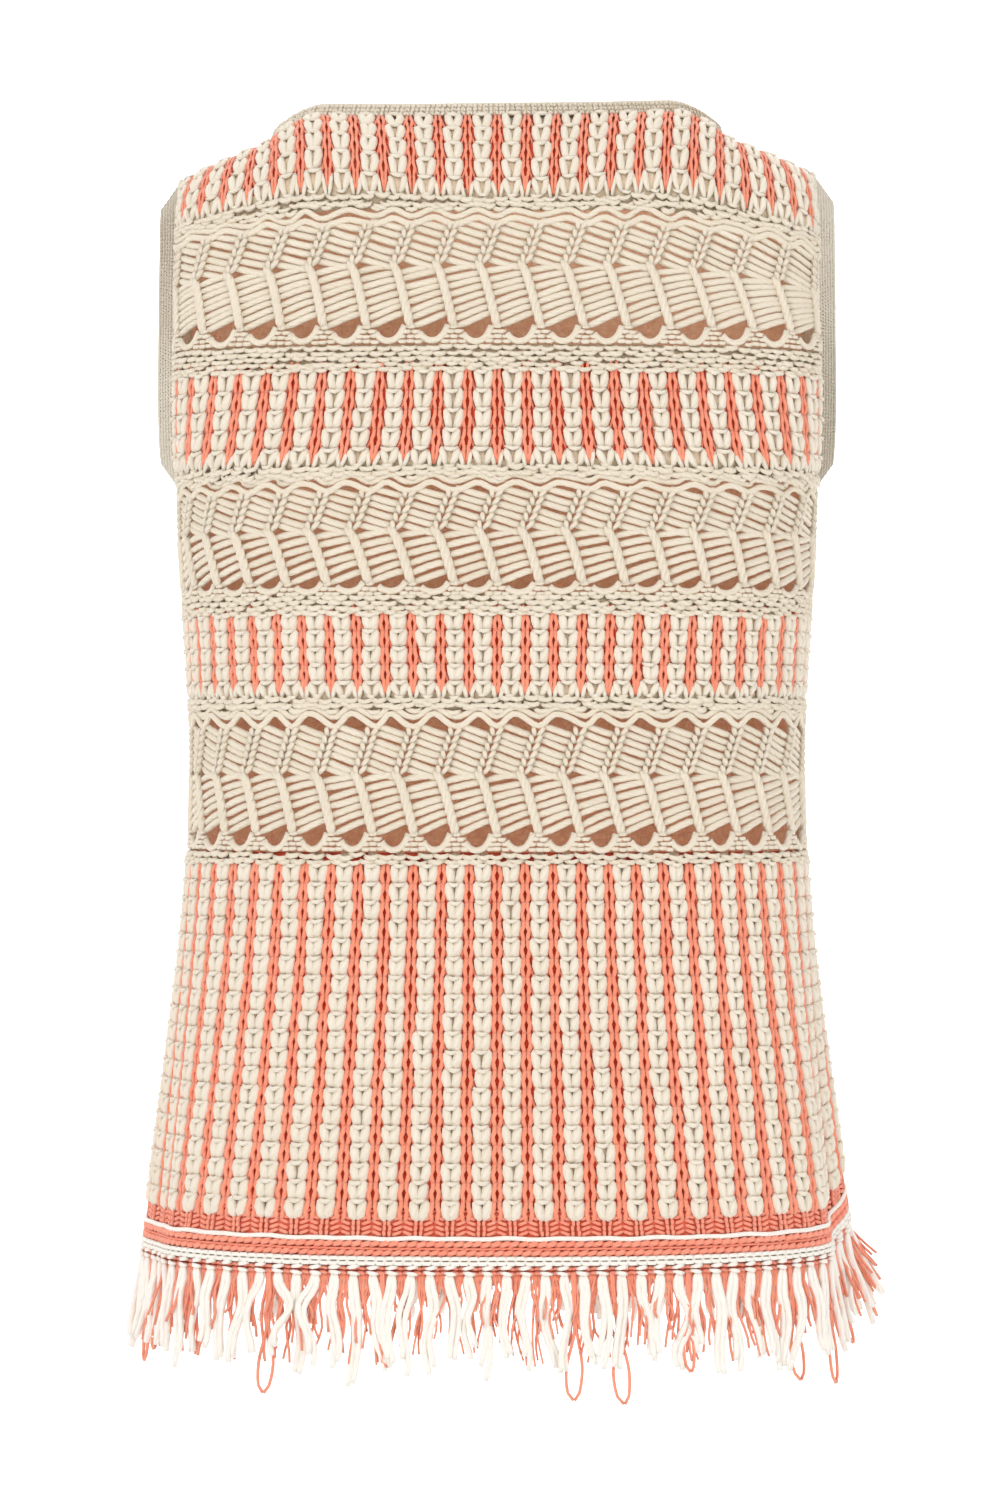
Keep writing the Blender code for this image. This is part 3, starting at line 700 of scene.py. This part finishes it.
def lace_band(band, side, yarns, bars):
    cell = band.cell
    outer = int(1.0 / cell + 1e-6)
    chains = np.arange(-outer, outer + 1) * cell
    edges = np.unique(np.concatenate([[-1.0], np.round(chains, 6), [1.0]]))
    if side == FRONT and band.top < UNDERARM_HEIGHT:
        chains = chains[np.abs(chains) < 0.999]
    lefts, rights = edges[:-1], edges[1:]
    upper, lower = band.top - band.middle, band.middle - band.foot

    # Scallops over the fans: two wavy yarns
    along = np.linspace(-1.0, 1.0, 161)
    for number, (out, radius) in enumerate(((1.6, 1.70), (1.0, 1.66))):
        height = wave_height(band, number, along)
        run(yarns, side, along[None], height[None], out * MM, radius * MM * np.ones(1), sides=6, flat=0.9)

    # Upper chains: two rows of small grains that meet in a V
    grains = int(round(upper / (4.0 * MM)))
    step = upper / grains
    chain, number = grid(chains, np.arange(grains))
    for hand in (1.0, -1.0):
        place, height, out, radius = [], [], [], []
        for sideways, up, stand, thick in (
            (0.98, 1.16, 0.9, 0.80),
            (0.82, 0.80, 2.1, 1.55),
            (0.54, 0.42, 2.4, 1.60),
            (0.24, 0.02, 1.6, 0.90),
        ):
            level = band.middle + (number + up) * step
            swing = np.clip(1.0 - (level - band.middle) / upper, 0.0, 1.0)
            place.append(chain_across(chain, cell, swing) + hand * sideways * 2.9 * MM / NOMINAL_REACH)
            height.append(level)
            out.append(np.full(len(chain), stand * MM))
            radius.append(np.full(len(chain), thick * MM))
        place, height, out, radius = (np.stack(part, axis=1) for part in (place, height, out, radius))
        tone = draw.normal(0, 0.05, len(chain))
        run(yarns, side, place, height, out, radius, sides=4, flat=0.85, tone=tone)

    # Lower chains: ropes of twisted strands that start from the lowest bar above
    down = np.linspace(0.0, 1.0, 12)
    for ply in range(3):
        turn = 2 * math.pi * (down * lower / (16 * MM) + ply / 3.0)
        place = chain_across(chains[:, None], cell, (1.0 - down)[None, :])
        place = place - 0.012 * np.exp(-down * 7.0) + 1.15 * MM / NOMINAL_REACH * np.cos(turn)
        height = band.middle + 1.4 * MM * np.exp(-down * 6.0) - down * lower
        out = (1.5 + 0.7 * np.sin(turn)) * MM
        radius = np.interp(down, [0, 0.12, 0.9, 1], [1.1, 1.65, 1.65, 1.2]) * MM
        run(yarns, side, place, height[None, :], out[None, :], radius[None, :], sides=5, tone=0.03)

    # Bars between the chains
    half = CHAIN_HALF / NOMINAL_REACH
    count = len(lefts)

    def fan(left_height, right_height, radius, out, crown):
        """Bars from each chain to the next, at these heights on the left and right."""
        left_height = left_height + draw.normal(0, 0.25 * MM, count)
        right_height = right_height + draw.normal(0, 0.25 * MM, count)
        part = np.linspace(0.0, 1.0, 5)

        def swing(height):
            reach = np.where(height > band.middle, upper, lower)
            return np.clip(1.0 - np.abs(height - band.middle) / reach, 0.0, 1.0)

        left = chain_across(lefts, cell, swing(left_height)) + half * 0.5
        right = chain_across(rights, cell, swing(right_height)) - half * 0.4
        place = left[:, None] + (right - left)[:, None] * part
        soft = ramp(part) * 0.35 + part * 0.65
        height = left_height[:, None] + (right_height - left_height)[:, None] * soft
        bow = draw.normal(0.0, 0.25 * MM, (count, 1)) + crown
        height = height + bow * np.sin(math.pi * part)
        rise = out + 0.25 * MM * np.sin(math.pi * part) + draw.normal(0, 0.12 * MM, (count, 1))
        thick = radius * np.interp(part, [0, 0.12, 0.88, 1], [0.8, 1.0, 1.0, 0.85])
        thick = thick * (1.0 + draw.normal(0, 0.03, (count, 1)))
        run(bars, side, place, height, rise, thick, sides=5, flat=0.92, tone=draw.normal(0, 0.06, count))

    bars_up = int(round(upper * 0.92 / (3.8 * MM))) + 1
    thick = 1.92 * MM if band.cell > 0.11 else 1.84 * MM
    for number in range(bars_up):
        up = 0.14 + 0.92 * number / (bars_up - 1)
        fan(band.middle + up * upper, band.middle + (up - 0.24) * upper, thick, 0.1 * MM, crown=-0.35 * MM)
    bars_down = int(round(lower * 0.90 / (4.4 * MM))) + 1
    for number in range(bars_down):
        part_down = number / (bars_down - 1)
        left_down, right_down = 0.12 + 0.88 * part_down, 0.02 + 0.75 * part_down
        left_height, right_height = band.middle - left_down * lower, band.middle - right_down * lower
        fan(left_height, right_height, 1.90 * MM, 0.1 * MM, crown=0.3 * MM)

    # Rims under the holes, and piles of small loops under the chains
    part = np.linspace(0.0, 1.0, 9)
    place = lefts[:, None] + (rights - lefts)[:, None] * (0.22 + 0.66 * part)
    dip = np.array([0.45, 0.20, 0.06, 0.0, 0.0, 0.06, 0.20, 0.45, 0.90])
    height = band.rim + dip * (band.foot + 1.0 * MM - band.rim) + draw.normal(0, 0.25 * MM, (len(lefts), 1))
    run(yarns, side, place, height, 1.2 * MM, 1.80 * MM * np.ones(1), sides=5)
    floor = band.rim - 1.2 * MM
    level, wide = band.foot - 0.4 * MM, 1
    while level > floor - 0.6 * MM:
        for number in range(wide):
            offset = (number - (wide - 1) / 2) * 0.19 + 0.02
            lay(yarns, side, chains + offset * cell, level, KNOB, 2.2 * MM, cell * 0.21, sides=4, loose=0.06)
        level, wide = level - 2.5 * MM, min(wide + 1, 3)


# Rows of small loops under each lace band: height, and where along the row they start
EDGE_ROWS = [
    (-0.3830, 0.0), (-0.3856, 0.5),
    (-0.2516, 0.0), (-0.2543, 0.5), (-0.2568, 0.0), (-0.2592, 0.5),
    (-0.1262, 0.0), (-0.1290, 0.5), (-0.1317, 0.0), (-0.1345, 0.5), (-0.1368, 0.0),
]
# Over each lace band, a row that follows its waves up to the first height, and a level one
OVER_ROWS = [(-0.3060, -0.3036), (-0.1890, -0.1869), (-0.0537, -0.0517)]


# ---- The plain ground behind the ribs ----


def shell(side, name, low, high, step, faces_out, thickness, materials, pick):
    """A thin closed wall. pick(column, row) says which material its outer faces take there."""
    columns = np.linspace(-1.0, 1.0, 181 if side == BACK else 121)
    heights = np.linspace(low, high, max(2, int(round((high - low) / step)) + 1))
    a, h = np.meshgrid(columns, heights)
    raised = np.where((h > low + 1e-6) & (h < high - 1e-6), ridge_rise(a, h), 0.0)
    outer, _ = on_cloth(side, a, h, faces_out + raised)
    inner, _ = on_cloth(side, a, h, faces_out - thickness)
    rows, wide = a.shape
    index = np.arange(rows * wide).reshape(rows, wide)
    low_left, low_right = index[:-1, :-1].ravel(), index[:-1, 1:].ravel()
    high_right, high_left = index[1:, 1:].ravel(), index[1:, :-1].ravel()
    front = np.stack([low_left, low_right, high_right, high_left], axis=1)
    back = front[:, ::-1] + rows * wide
    if side == FRONT:
        front, back = front[:, ::-1], back[:, ::-1]
    around = np.concatenate([index[0, :], index[1:, -1], index[-1, -2::-1], index[-2:0:-1, 0]])
    after = np.roll(around, -1)
    rim = np.stack([after, around, around + rows * wide, after + rows * wide], axis=1)
    if side == FRONT:
        rim = rim[:, ::-1]
    points = np.concatenate([outer.reshape(-1, 3), inner.reshape(-1, 3)])
    mesh = make_mesh(name, points, [front, back, rim])
    middles = (columns[:-1] + columns[1:]) / 2
    tops = (heights[:-1] + heights[1:]) / 2
    column, row = np.meshgrid(middles, tops)
    outside = np.array([pick(c, r) for c, r in zip(column.ravel(), row.ravel())])
    inside = np.full(len(outside), len(materials) - 1)
    edge = np.zeros(len(rim), int)
    for material in materials:
        mesh.materials.append(material)
    mesh.polygons.foreach_set("material_index", np.concatenate([outside, inside, edge]).astype(np.int32))
    return mesh


def ridge_rise(across, height):
    """How much the ground is raised under the cream columns and behind the rows over the lace."""
    rise = np.zeros_like(across)
    for under, level in OVER_ROWS:
        rise += 1.1 * MM * np.exp(-(((height - (under + level) / 2) / (4 * MM)) ** 2))
    for band in RIB_BANDS:
        inside = (height > band.low) & (height < band.high)
        place = (across + 1.0) * band.ribs / 2
        rise += np.where(inside, 1.2 * MM * np.sin(math.pi * place) ** 2, 0.0)
    return rise


def rib_ground(column, row):
    """Coral under the stripes, cream under the columns, beige beyond the ends of the stripes."""
    for band in RIB_BANDS:
        low = band.low + (0.9 * (band.high - band.low) / band.rows if band.tapered else -0.01)
        if low < row < band.high + 1.5 * MM:
            place = (column + 1.0) * band.ribs / 2
            offset = abs(place - round(place))
            return 1 if offset < 0.27 else 0
    return 2


# ---- Bands round the armholes and the neck ----


def smooth_loop(values, times):
    for _ in range(times):
        values = 0.25 * np.roll(values, 1, axis=0) + 0.5 * values + 0.25 * np.roll(values, -1, axis=0)
    return values


def even_loop(points, ways, pitch):
    """Evenly spaced stations round a closed loop, a multiple of four of them."""
    closed = np.concatenate([points, points[:1]])
    length = np.concatenate([[0.0], np.cumsum(np.linalg.norm(np.diff(closed, axis=0), axis=1))])
    count = 4 * int(round(length[-1] / pitch / 4))
    at = np.arange(count) * length[-1] / count
    ways = np.concatenate([ways, ways[:1]])

    def pick(values):
        return np.stack([np.interp(at, length, values[:, axis]) for axis in range(3)], axis=1)

    return pick(closed), unit(pick(ways))


ARMBAND_WIDTH, NECKBAND_WIDTH = 0.0182, 0.0064
ARMBAND_PITCH, NECKBAND_PITCH = 0.0021, 0.00208  # between stations round each loop
LOOP_OUT = -0.0007  # the loops run inside the panels' face


def armhole_loop(end, pitch):
    heights = np.linspace(UNDERARM_HEIGHT, TOP_HEIGHT, 120)
    behind, _ = forms[BACK].at(end, heights, LOOP_OUT)
    before, _ = forms[FRONT].at(end, heights[::-1], LOOP_OUT)
    points = np.concatenate([behind, before])
    centre = np.array([0.0, 0.0, (UNDERARM_HEIGHT + SHOULDER_TIP_HEIGHT) / 2])
    level = points.copy()
    level[:, 0] = 0.0
    ways = unit(centre - level) + np.array([end * 0.72, 0.0, 0.0])
    return even_loop(smooth_loop(points, 3), smooth_loop(unit(ways), 8), pitch)


def neck_loop(pitch):
    share = np.linspace(-NECK_SHARE, NECK_SHARE, 140)
    behind, _ = forms[BACK].at(share, TOP_HEIGHT, LOOP_OUT)
    before, _ = forms[FRONT].at(share[::-1], TOP_HEIGHT, LOOP_OUT)
    points = np.concatenate([behind, before])
    level = points.copy()
    level[:, 2] = 0.0
    ways = unit(-level) * 0.35 + np.array([0.0, 0.0, 1.0])
    return even_loop(smooth_loop(points, 2), smooth_loop(unit(ways), 6), pitch)


class Band:
    """A loop of ribbed cloth. along is in stations, up and out in metres."""

    def __init__(self, points, ways, hand):
        self.points, self.ways = points, ways
        forward = unit(np.roll(points, -1, axis=0) - np.roll(points, 1, axis=0))
        self.out = unit(np.cross(forward, ways)) * hand
        self.count = len(points)

    def at(self, along, up, out):
        along, up, out = np.broadcast_arrays(along, up, out)
        low = np.floor(along).astype(int)
        part = (along - low)[..., None]

        def pick(values):
            return values[low % self.count] * (1 - part) + values[(low + 1) % self.count] * part

        normal = unit(pick(self.out))
        return pick(self.points) + pick(self.ways) * up[..., None] + normal * out[..., None], normal

    def ground(self, width):
        outside = [(0.0, 0.7), (0.5, 1.1), (1.0, 0.7), (1.03, -0.2)]
        section = np.array([(0.0, -1.1), *outside, (1.0, -1.1), (0.5, -1.3)])
        stations = np.arange(self.count)[:, None]
        points, _ = self.at(stations, section[None, :, 0] * width, section[None, :, 1] * MM)
        wide = len(section)
        index = np.arange(self.count * wide).reshape(self.count, wide)
        after, right = np.roll(index, -1, axis=0), np.roll(index, -1, axis=1)
        quads = np.stack([index, right, np.roll(right, -1, axis=0), after], axis=-1).reshape(-1, 4)
        points = points.reshape(-1, 3)
        first = points[quads[1]]
        facing = np.cross(first[1] - first[0], first[2] - first[1])
        if np.dot(facing, self.out[0]) < 0:
            quads = quads[:, ::-1]
        return points, quads

    def grains(self, yarns, along, up, knots, rise, reach, **choices):
        """Small stitches. Each knot: along (in reaches), up (in rises), out and thickness in mm."""
        shape = np.asarray(knots, float)
        along, up = np.asarray(along, float).ravel()[:, None], np.asarray(up, float).ravel()[:, None]
        shift = draw.normal(0.0, 0.04, (len(along), 3, 1))
        path, normal = self.at(
            along + (shape[:, 0] + shift[:, 0]) * reach,
            up + (shape[:, 1] + shift[:, 1]) * rise,
            shape[:, 2] * MM,
        )
        radius = shape[:, 3] * MM * (1.0 + shift[:, 2])
        yarns.sweep(path, normal, radius, tone=draw.normal(0, 0.06, len(along)), **choices)


BAND_STITCH = [(0.40, 1.02, 0.9, 0.45), (0.30, 0.62, 1.35, 0.80), (0.10, 0.06, 1.2, 0.62)]
EDGE_STITCH = arch((0.22, 0.1, 2.0, 1.30), (0.52, -0.2, 0.8, 0.75))


def band_pieces(name, band, width, rows, pitch, pairs, edge):
    """A band's cloth and stitches. pitch is a column's width in stations.

    pairs brings the columns together in twos, and edge adds a chain beside the panel.
    """
    points, quads = band.ground(width)
    mesh = make_mesh(name + "_cloth", points, [quads])
    ground = make_object(name + "_cloth", mesh, [band_ground])
    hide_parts(name)
    yarns = Yarns()
    rise = width / rows
    station, row = grid(np.arange(0.0, band.count - 0.5, pitch), np.arange(rows) * rise)
    if pairs:
        odd = np.round(station / pitch) % 2
        station = station + np.where(odd > 0.5, -0.09, 0.09) * pitch
    for hand in (1.0, -1.0):
        knots = [(hand * along, up, out, thick * pitch * 0.62 + 0.25) for along, up, out, thick in BAND_STITCH]
        band.grains(yarns, station, row, knots, rise, pitch, sides=3)
    loop, normal = band.at(np.arange(band.count + 1), width + 0.2 * MM, 0.0)
    yarns.sweep(loop[None], normal[None], 1.15 * MM, sides=5)
    if edge:
        station = np.arange(0.0, band.count - 0.5, 2.0)
        level = np.full(len(station), -0.9 * MM)
        band.grains(yarns, station, level, EDGE_STITCH, 2.5 * MM, 2.0, sides=4)
    yarns.piece(name + "_stitches", band_beige, "beige_yarn")


# ---- Hem rib, trim and fringe ----
HEM_RIB_LOW = -0.5737
HEM_PITCH = 1.0 / 51  # across, of the trim's stitches
UPRIGHT = [
    (0.095, 1.15, 0.2, 0.6),
    (0.085, 0.75, 0.9, 1.05),
    (0.08, 0.3, 0.9, 1.05),
    (0.085, -0.1, 0.2, 0.6),
]
CHEVRON = [
    (0.01, 0.95, -0.2, 0.6),
    (0.10, 0.72, 0.25, 1.05),
    (0.22, 0.42, 0.3, 1.10),
    (0.33, 0.25, 0.0, 0.75),
]
SLANT = [(-0.62, -0.30, 0.4, 0.7), (-0.25, -0.12, 1.1, 1.35), (0.20, 0.10, 1.2, 1.40), (0.60, 0.36, 0.4, 0.7)]
LINK = [(-0.56, 0.06, 1.0, 0.8), (-0.25, 0.40, 1.7, 1.20), (0.25, 0.42, 1.8, 1.25), (0.60, 0.06, 1.1, 0.8)]
DASH = [(-0.6, 0.0, 0.2, 0.7), (-0.2, 0.05, 0.8, 1.1), (0.2, -0.05, 0.8, 1.1), (0.6, 0.0, 0.2, 0.7)]
KNOT = [(-0.36, -0.3, 1.0, 0.7), (-0.12, -0.1, 2.1, 1.25), (0.12, 0.1, 2.1, 1.25), (0.36, 0.3, 1.0, 0.7)]
STRAND_COUNT = 50  # of doubled fringe strands on each side


def hem_rib_stitches(yarns, side):
    rows, rise = 5, 2.6 * MM
    width = 2.0 / SKIRT_RIBS
    across, height = grid(ridges(SKIRT_RIBS), HEM_RIB_LOW + np.arange(rows) * rise)
    lay(yarns, side, across, height, UPRIGHT, rise, width, mirror=BOTH, sides=4, loose=0.012)
    across, height = grid(grooves(SKIRT_RIBS, side, True), HEM_RIB_LOW + np.arange(rows) * rise)
    lay(yarns, side, across, height, CHEVRON, rise, width, mirror=BOTH, sides=4, loose=0.012)


def trim_stitches(pale, bright, side):
    along = np.linspace(-1.0, 1.0, 161)
    ripple = np.sin(along * 61.0) + 0.7 * np.sin(along * 37.0 + 1.0)
    one = np.ones(1)
    run(pale, side, along[None], (-0.5748 + 0.25 * MM * ripple)[None], 1.4 * MM, 1.30 * MM * one, sides=6)
    run(bright, side, along[None], (-0.5799 + 0.10 * MM * ripple)[None], 0.9 * MM, 0.70 * MM * one, sides=6)
    for level in (-0.5847, -0.5872):
        run(pale, side, along[None], (level + 0.10 * MM * ripple)[None], 0.7 * MM, 1.25 * MM * one, sides=6)
    places = np.arange(-51, 51) * HEM_PITCH + HEM_PITCH / 2
    for level, thick in ((-0.5775, 1.22), (-0.5820, 1.12)):
        shape = np.array(SLANT) * (1.0, 1.0, 1.0, thick)
        lay(bright, side, places + (level + 0.58) * 3.0, level, shape, 3.0 * MM, width=HEM_PITCH, sides=4)
    for hand in (1.0, -1.0):
        link = np.array(LINK) * (1.0, hand, 1.0, 1.0)
        lay(pale, side, places, -0.5860, link, 3.3 * MM, width=HEM_PITCH * 1.05, sides=4, loose=0.02)
    for level in (-0.5898, -0.5922):
        lay(bright, side, places, level, DASH, 3.0 * MM, width=HEM_PITCH, sides=3)
    knots = fringe_places()
    for level, tilt in ((-0.5893, 0.5), (-0.5921, -0.5)):
        knot = np.array(KNOT) * (1.0, tilt, 1.0, 1.0)
        lay(pale, side, knots, level, knot, 3.0 * MM, width=1.0 / 30, sides=4, loose=0.05)


def fringe_places():
    return (2 * np.arange(STRAND_COUNT) + 1.0) / STRAND_COUNT - 1.0


SIDE_FLARE_WIDTH = 0.16


def hanging(side, across, start, length, out, steps, sway, flare, wavy=1.0):
    """Paths that hang from the hem and bend a little. Arrays, one row for each strand."""
    part = np.linspace(0.0, 1.0, steps)[None, :]
    root, normal = on_cloth(side, across, start, out)
    level = normal.copy()
    level[:, 2] = 0.0
    level = unit(level)
    along = np.stack([-level[:, 1], level[:, 0], np.zeros(len(level))], axis=1)
    near = np.exp(-((hem_distance(side, across, SIDE_LIFT_AROUND) / SIDE_FLARE_WIDTH) ** 2))
    reach = flare + 0.013 * near
    count = len(across)
    phase = draw.uniform(0, 2 * math.pi, (count, 1))
    speed = draw.uniform(4.0, 8.5, (count, 1))
    drift = draw.normal(0.0, sway, (count, 1)) * part**1.2
    drift = drift + wavy * sway * 0.55 * (np.sin(phase + speed * part) - np.sin(phase)) * ramp(part * 2.5)
    depth = draw.normal(0.0, sway * 0.5, (count, 1)) * part + reach[:, None] * part**1.5
    path = root[:, None, :] + along[:, None, :] * drift[..., None] + level[:, None, :] * depth[..., None]
    path[:, :, 2] -= length[:, None] * part * np.sqrt(np.clip(1.0 - 0.12 * near[:, None], 0, 1))
    level, along = (np.broadcast_to(way[:, None, :], path.shape) for way in (level, along))
    return path, level, along


def fringe_strands(pale, bright, side):
    # Doubled cream strands, uneven in length, a few of them swung across their neighbours
    places = fringe_places()
    count = len(places)
    length = 0.045 + draw.normal(0.0, 0.0035, count)
    swung = np.where((draw.random(count) < 0.16) & (np.abs(places) < 0.85), 2.2, 1.0)
    path, level, along = hanging(side, places, -0.5925, length, 1.0 * MM, 14, 0.0030, 0.005)
    root = path[:, :1, :]
    path = root + (path - root) * np.where(np.arange(3) < 2, swung[:, None], 1.0)[:, None, :]
    part = np.linspace(0.0, 1.0, 14)
    apart = np.interp(part, [0, 0.1, 0.75, 1.0], [0.5, 1.35, 1.55, 1.3]) * MM
    for hand in (1.0, -1.0):
        twist = draw.normal(0.0, 0.6, (count, 1)) * np.sin(part * 2.6)
        spread = along * np.cos(twist)[..., None] + level * np.sin(twist)[..., None]
        strand = path + spread * (apart * hand)[None, :, None]
        strand[:, :, 2] -= draw.normal(0.0, 0.0028, (count, 1)) * part
        thick = np.interp(part, [0, 0.08, 0.92, 1.0], [1.2, 1.65, 1.75, 1.45]) * MM
        pale.sweep(strand, level, thick[None, :], sides=6, tone=0.05)
    # Loose coral ends between them
    for offset in np.linspace(-0.42, 0.42, 6):
        between = places + (1.0 + offset) / STRAND_COUNT
        length = draw.uniform(0.022, 0.047, count)
        path, level, along = hanging(side, between, -0.5915, length, -0.4 * MM, 9, 0.0026, 0.004)
        bright.sweep(path, level, np.linspace(1.0, 0.75, 9)[None, :] * MM, sides=4)
    # Thin loops that hang lower, and hooked ends
    for share, reach, width in ((0.16, 0.061, 3.6), (0.12, 0.053, 2.2)):
        loops = places[draw.random(count) < share] + 1.0 / STRAND_COUNT
        number = len(loops)
        length = reach + draw.normal(0.0, 0.003, number)
        path, level, along = hanging(side, loops, -0.5915, length, 0.8 * MM, 18, 0.0022, 0.005, wavy=0.4)
        part = np.linspace(0.0, 1.0, 18)
        half = np.where(part > 0.45, np.sqrt(np.clip(1.0 - ((part - 0.78) / 0.22) ** 2, 0, 1)), 0.0)
        rising = ramp((part - 0.42) / 0.36)
        half = np.where(part < 0.78, rising, half) * width
        for hand in (1.0, -1.0):
            strand = path + along * ((half + 0.45) * hand * MM)[None, :, None]
            if hand < 0:
                strand[:, -1, :] = path[:, -1, :]
            bright.sweep(strand, level, 0.92 * MM, sides=5)


# ---- Pieces ----
band_ground = ground_material("band_ground", srgb("F0E5D2"), srgb("DCCDB2"))
hem_ground = ground_material("hem_ground", srgb("FC8E70"), srgb("E05F42"))

CLOTH_STEP = 0.010  # between the ground's rows of points
# The back is open in its lace bands. The front, which shows only from inside, is closed.
CLOTH_STRIPS = {
    BACK: [(-0.5655, -0.3808), (-0.3095, -0.2503), (-0.1915, -0.1240), (-0.0560, TOP_HEIGHT)],
    FRONT: [(-0.5655, TOP_HEIGHT)],
}
for side, side_name in SIDES:
    stitches, stripes, lace, bars = (Yarns(side) for _ in range(4))
    for band in RIB_BANDS:
        rib_band(band, side, stitches, stripes)
    for band in LACE_BANDS:
        lace_band(band, side, lace, bars)
    for height, phase in EDGE_ROWS:
        bump_row(lace, side, height, phase)
    for band, (under, level) in zip(LACE_BANDS, OVER_ROWS):
        bump_row(lace, side, under, 0.0, over=band)
        bump_row(lace, side, under - 0.4 * MM, 0.5)
        bump_row(lace, side, level, 0.5)
    pieces = [
        stitches.piece(f"cream_stitches_{side_name}", cream, "cream_yarn"),
        stripes.piece(f"coral_stripes_{side_name}", coral, "coral_yarn"),
        lace.piece(f"lace_chains_{side_name}", beige, "beige_yarn"),
        bars.piece(f"lace_bars_{side_name}", beige, "beige_yarn"),
    ]
    joined = bmesh.new()
    for number, (low, high) in enumerate(CLOTH_STRIPS[side]):
        strip = shell(
            side, f"cloth_{side_name}_{number}", low, high, CLOTH_STEP, -0.9 * MM, 1.3 * MM,
            [cream_ground, coral_ground, beige_ground, inner_ground], rib_ground,
        )
        joined.from_mesh(strip)
        bpy.data.meshes.remove(strip)
    cloth = bpy.data.meshes.new(f"cloth_{side_name}")
    joined.to_mesh(cloth)
    joined.free()
    cloth.shade_smooth()
    materials = [cream_ground, coral_ground, beige_ground, inner_ground]
    ground = make_object(f"cloth_{side_name}", cloth, materials)
    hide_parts(f"{side_name}_panel")
    area = sum(polygon.area for polygon in cloth.polygons) / 2

    hem = shell(
        side, f"hem_cloth_{side_name}", -0.5935, -0.5610, 6 * MM, -0.4 * MM, 1.4 * MM,
        [hem_ground], lambda column, row: 0,
    )
    hem_object = make_object(f"hem_cloth_{side_name}", hem, [])
    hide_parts(f"hem_rib_{side_name}", f"hem_trim_{side_name}")
    rib_yarns, pale, bright = (Yarns(side) for _ in range(3))
    hem_rib_stitches(rib_yarns, side)
    trim_stitches(pale, bright, side)
    hem_pieces = [
        rib_yarns.piece(f"hem_rib_stitches_{side_name}", hem_coral, "coral_yarn"),
        pale.piece(f"trim_pale_{side_name}", white, "trim_yarn"),
        bright.piece(f"trim_coral_{side_name}", hem_coral, "coral_yarn"),
    ]
    pale, bright = Yarns(side), Yarns(side)
    fringe_strands(pale, bright, side)
    fringe_pale = pale.piece(f"fringe_cream_{side_name}", white, "trim_yarn")
    bright.piece(f"fringe_coral_{side_name}", fringe_coral, "coral_yarn")
    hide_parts(f"fringe_{side_name}")

for end, name in ((-1, "armband_left"), (1, "armband_right")):
    points, ways = armhole_loop(end, ARMBAND_PITCH)
    trial = Band(points, ways, 1.0)
    hand = 1.0 if np.mean(trial.out[:, 0]) * end > 0 else -1.0
    band_pieces(name, Band(points, ways, hand), ARMBAND_WIDTH, 7, 1.0, False, True)
points, ways = neck_loop(NECKBAND_PITCH)
trial = Band(points, ways, 1.0)
outward = np.mean(np.sum(trial.out[:, :2] * trial.points[:, :2], axis=1))
band_pieces("neckband", Band(points, ways, 1.0 if outward > 0 else -1.0), NECKBAND_WIDTH, 3, 2.0, True, False)

# ---- Studio: white paper and broad soft lights ----


def light(name, place, aim, size, power):
    lamp = bpy.data.lights.new(name, "AREA")
    lamp.shape = "RECTANGLE"
    lamp.size, lamp.size_y = size
    lamp.energy = power
    stand = bpy.data.objects.new(name, lamp)
    stand.location = place
    stand.rotation_euler = (Vector(aim) - Vector(place)).to_track_quat("-Z", "Y").to_euler()
    bpy.context.scene.collection.objects.link(stand)


paper = bpy.data.materials.new("white_paper")
paper.use_nodes = True
paper_shader = paper.node_tree.nodes["Principled BSDF"]
paper_shader.inputs["Base Color"].default_value = (0.95, 0.95, 0.95, 1.0)
paper_shader.inputs["Roughness"].default_value = 0.9
paper_bend = [(2.6, -1.3), (3.1, -1.25), (3.5, -1.1), (3.8, -0.8), (3.95, -0.4), (4.0, 0.1)]
sheet_line = [(-5.0, -1.3), *paper_bend, (4.0, 4.5)]
paper_points = [(x, y, z) for y, z in sheet_line for x in (-6.0, 6.0)]
paper_faces = [(2 * i, 2 * i + 1, 2 * i + 3, 2 * i + 2) for i in range(len(sheet_line) - 1)]
paper_mesh = bpy.data.meshes.new("backdrop")
paper_mesh.from_pydata(paper_points, [], paper_faces)
paper_mesh.shade_smooth()
paper_mesh.materials.append(paper)
backdrop = bpy.data.objects.new("backdrop", paper_mesh)
bpy.context.scene.collection.objects.link(backdrop)

world = bpy.data.worlds.new("studio")
world.use_nodes = True
world.node_tree.nodes["Background"].inputs["Color"].default_value = (1.0, 1.0, 1.0, 1.0)
world.node_tree.nodes["Background"].inputs["Strength"].default_value = 0.75
bpy.context.scene.world = world
light("key", (-1.5, -2.2, 1.2), (0, 0, -0.3), (1.6, 1.6), 26)
light("fill", (1.8, -2.0, 0.4), (0, 0, -0.35), (1.6, 1.8), 12)
light("backdrop_wash", (0.0, 1.6, 2.2), (0, 4.0, -0.2), (3.5, 1.0), 160)
bpy.context.scene.view_settings.view_transform = "Standard"
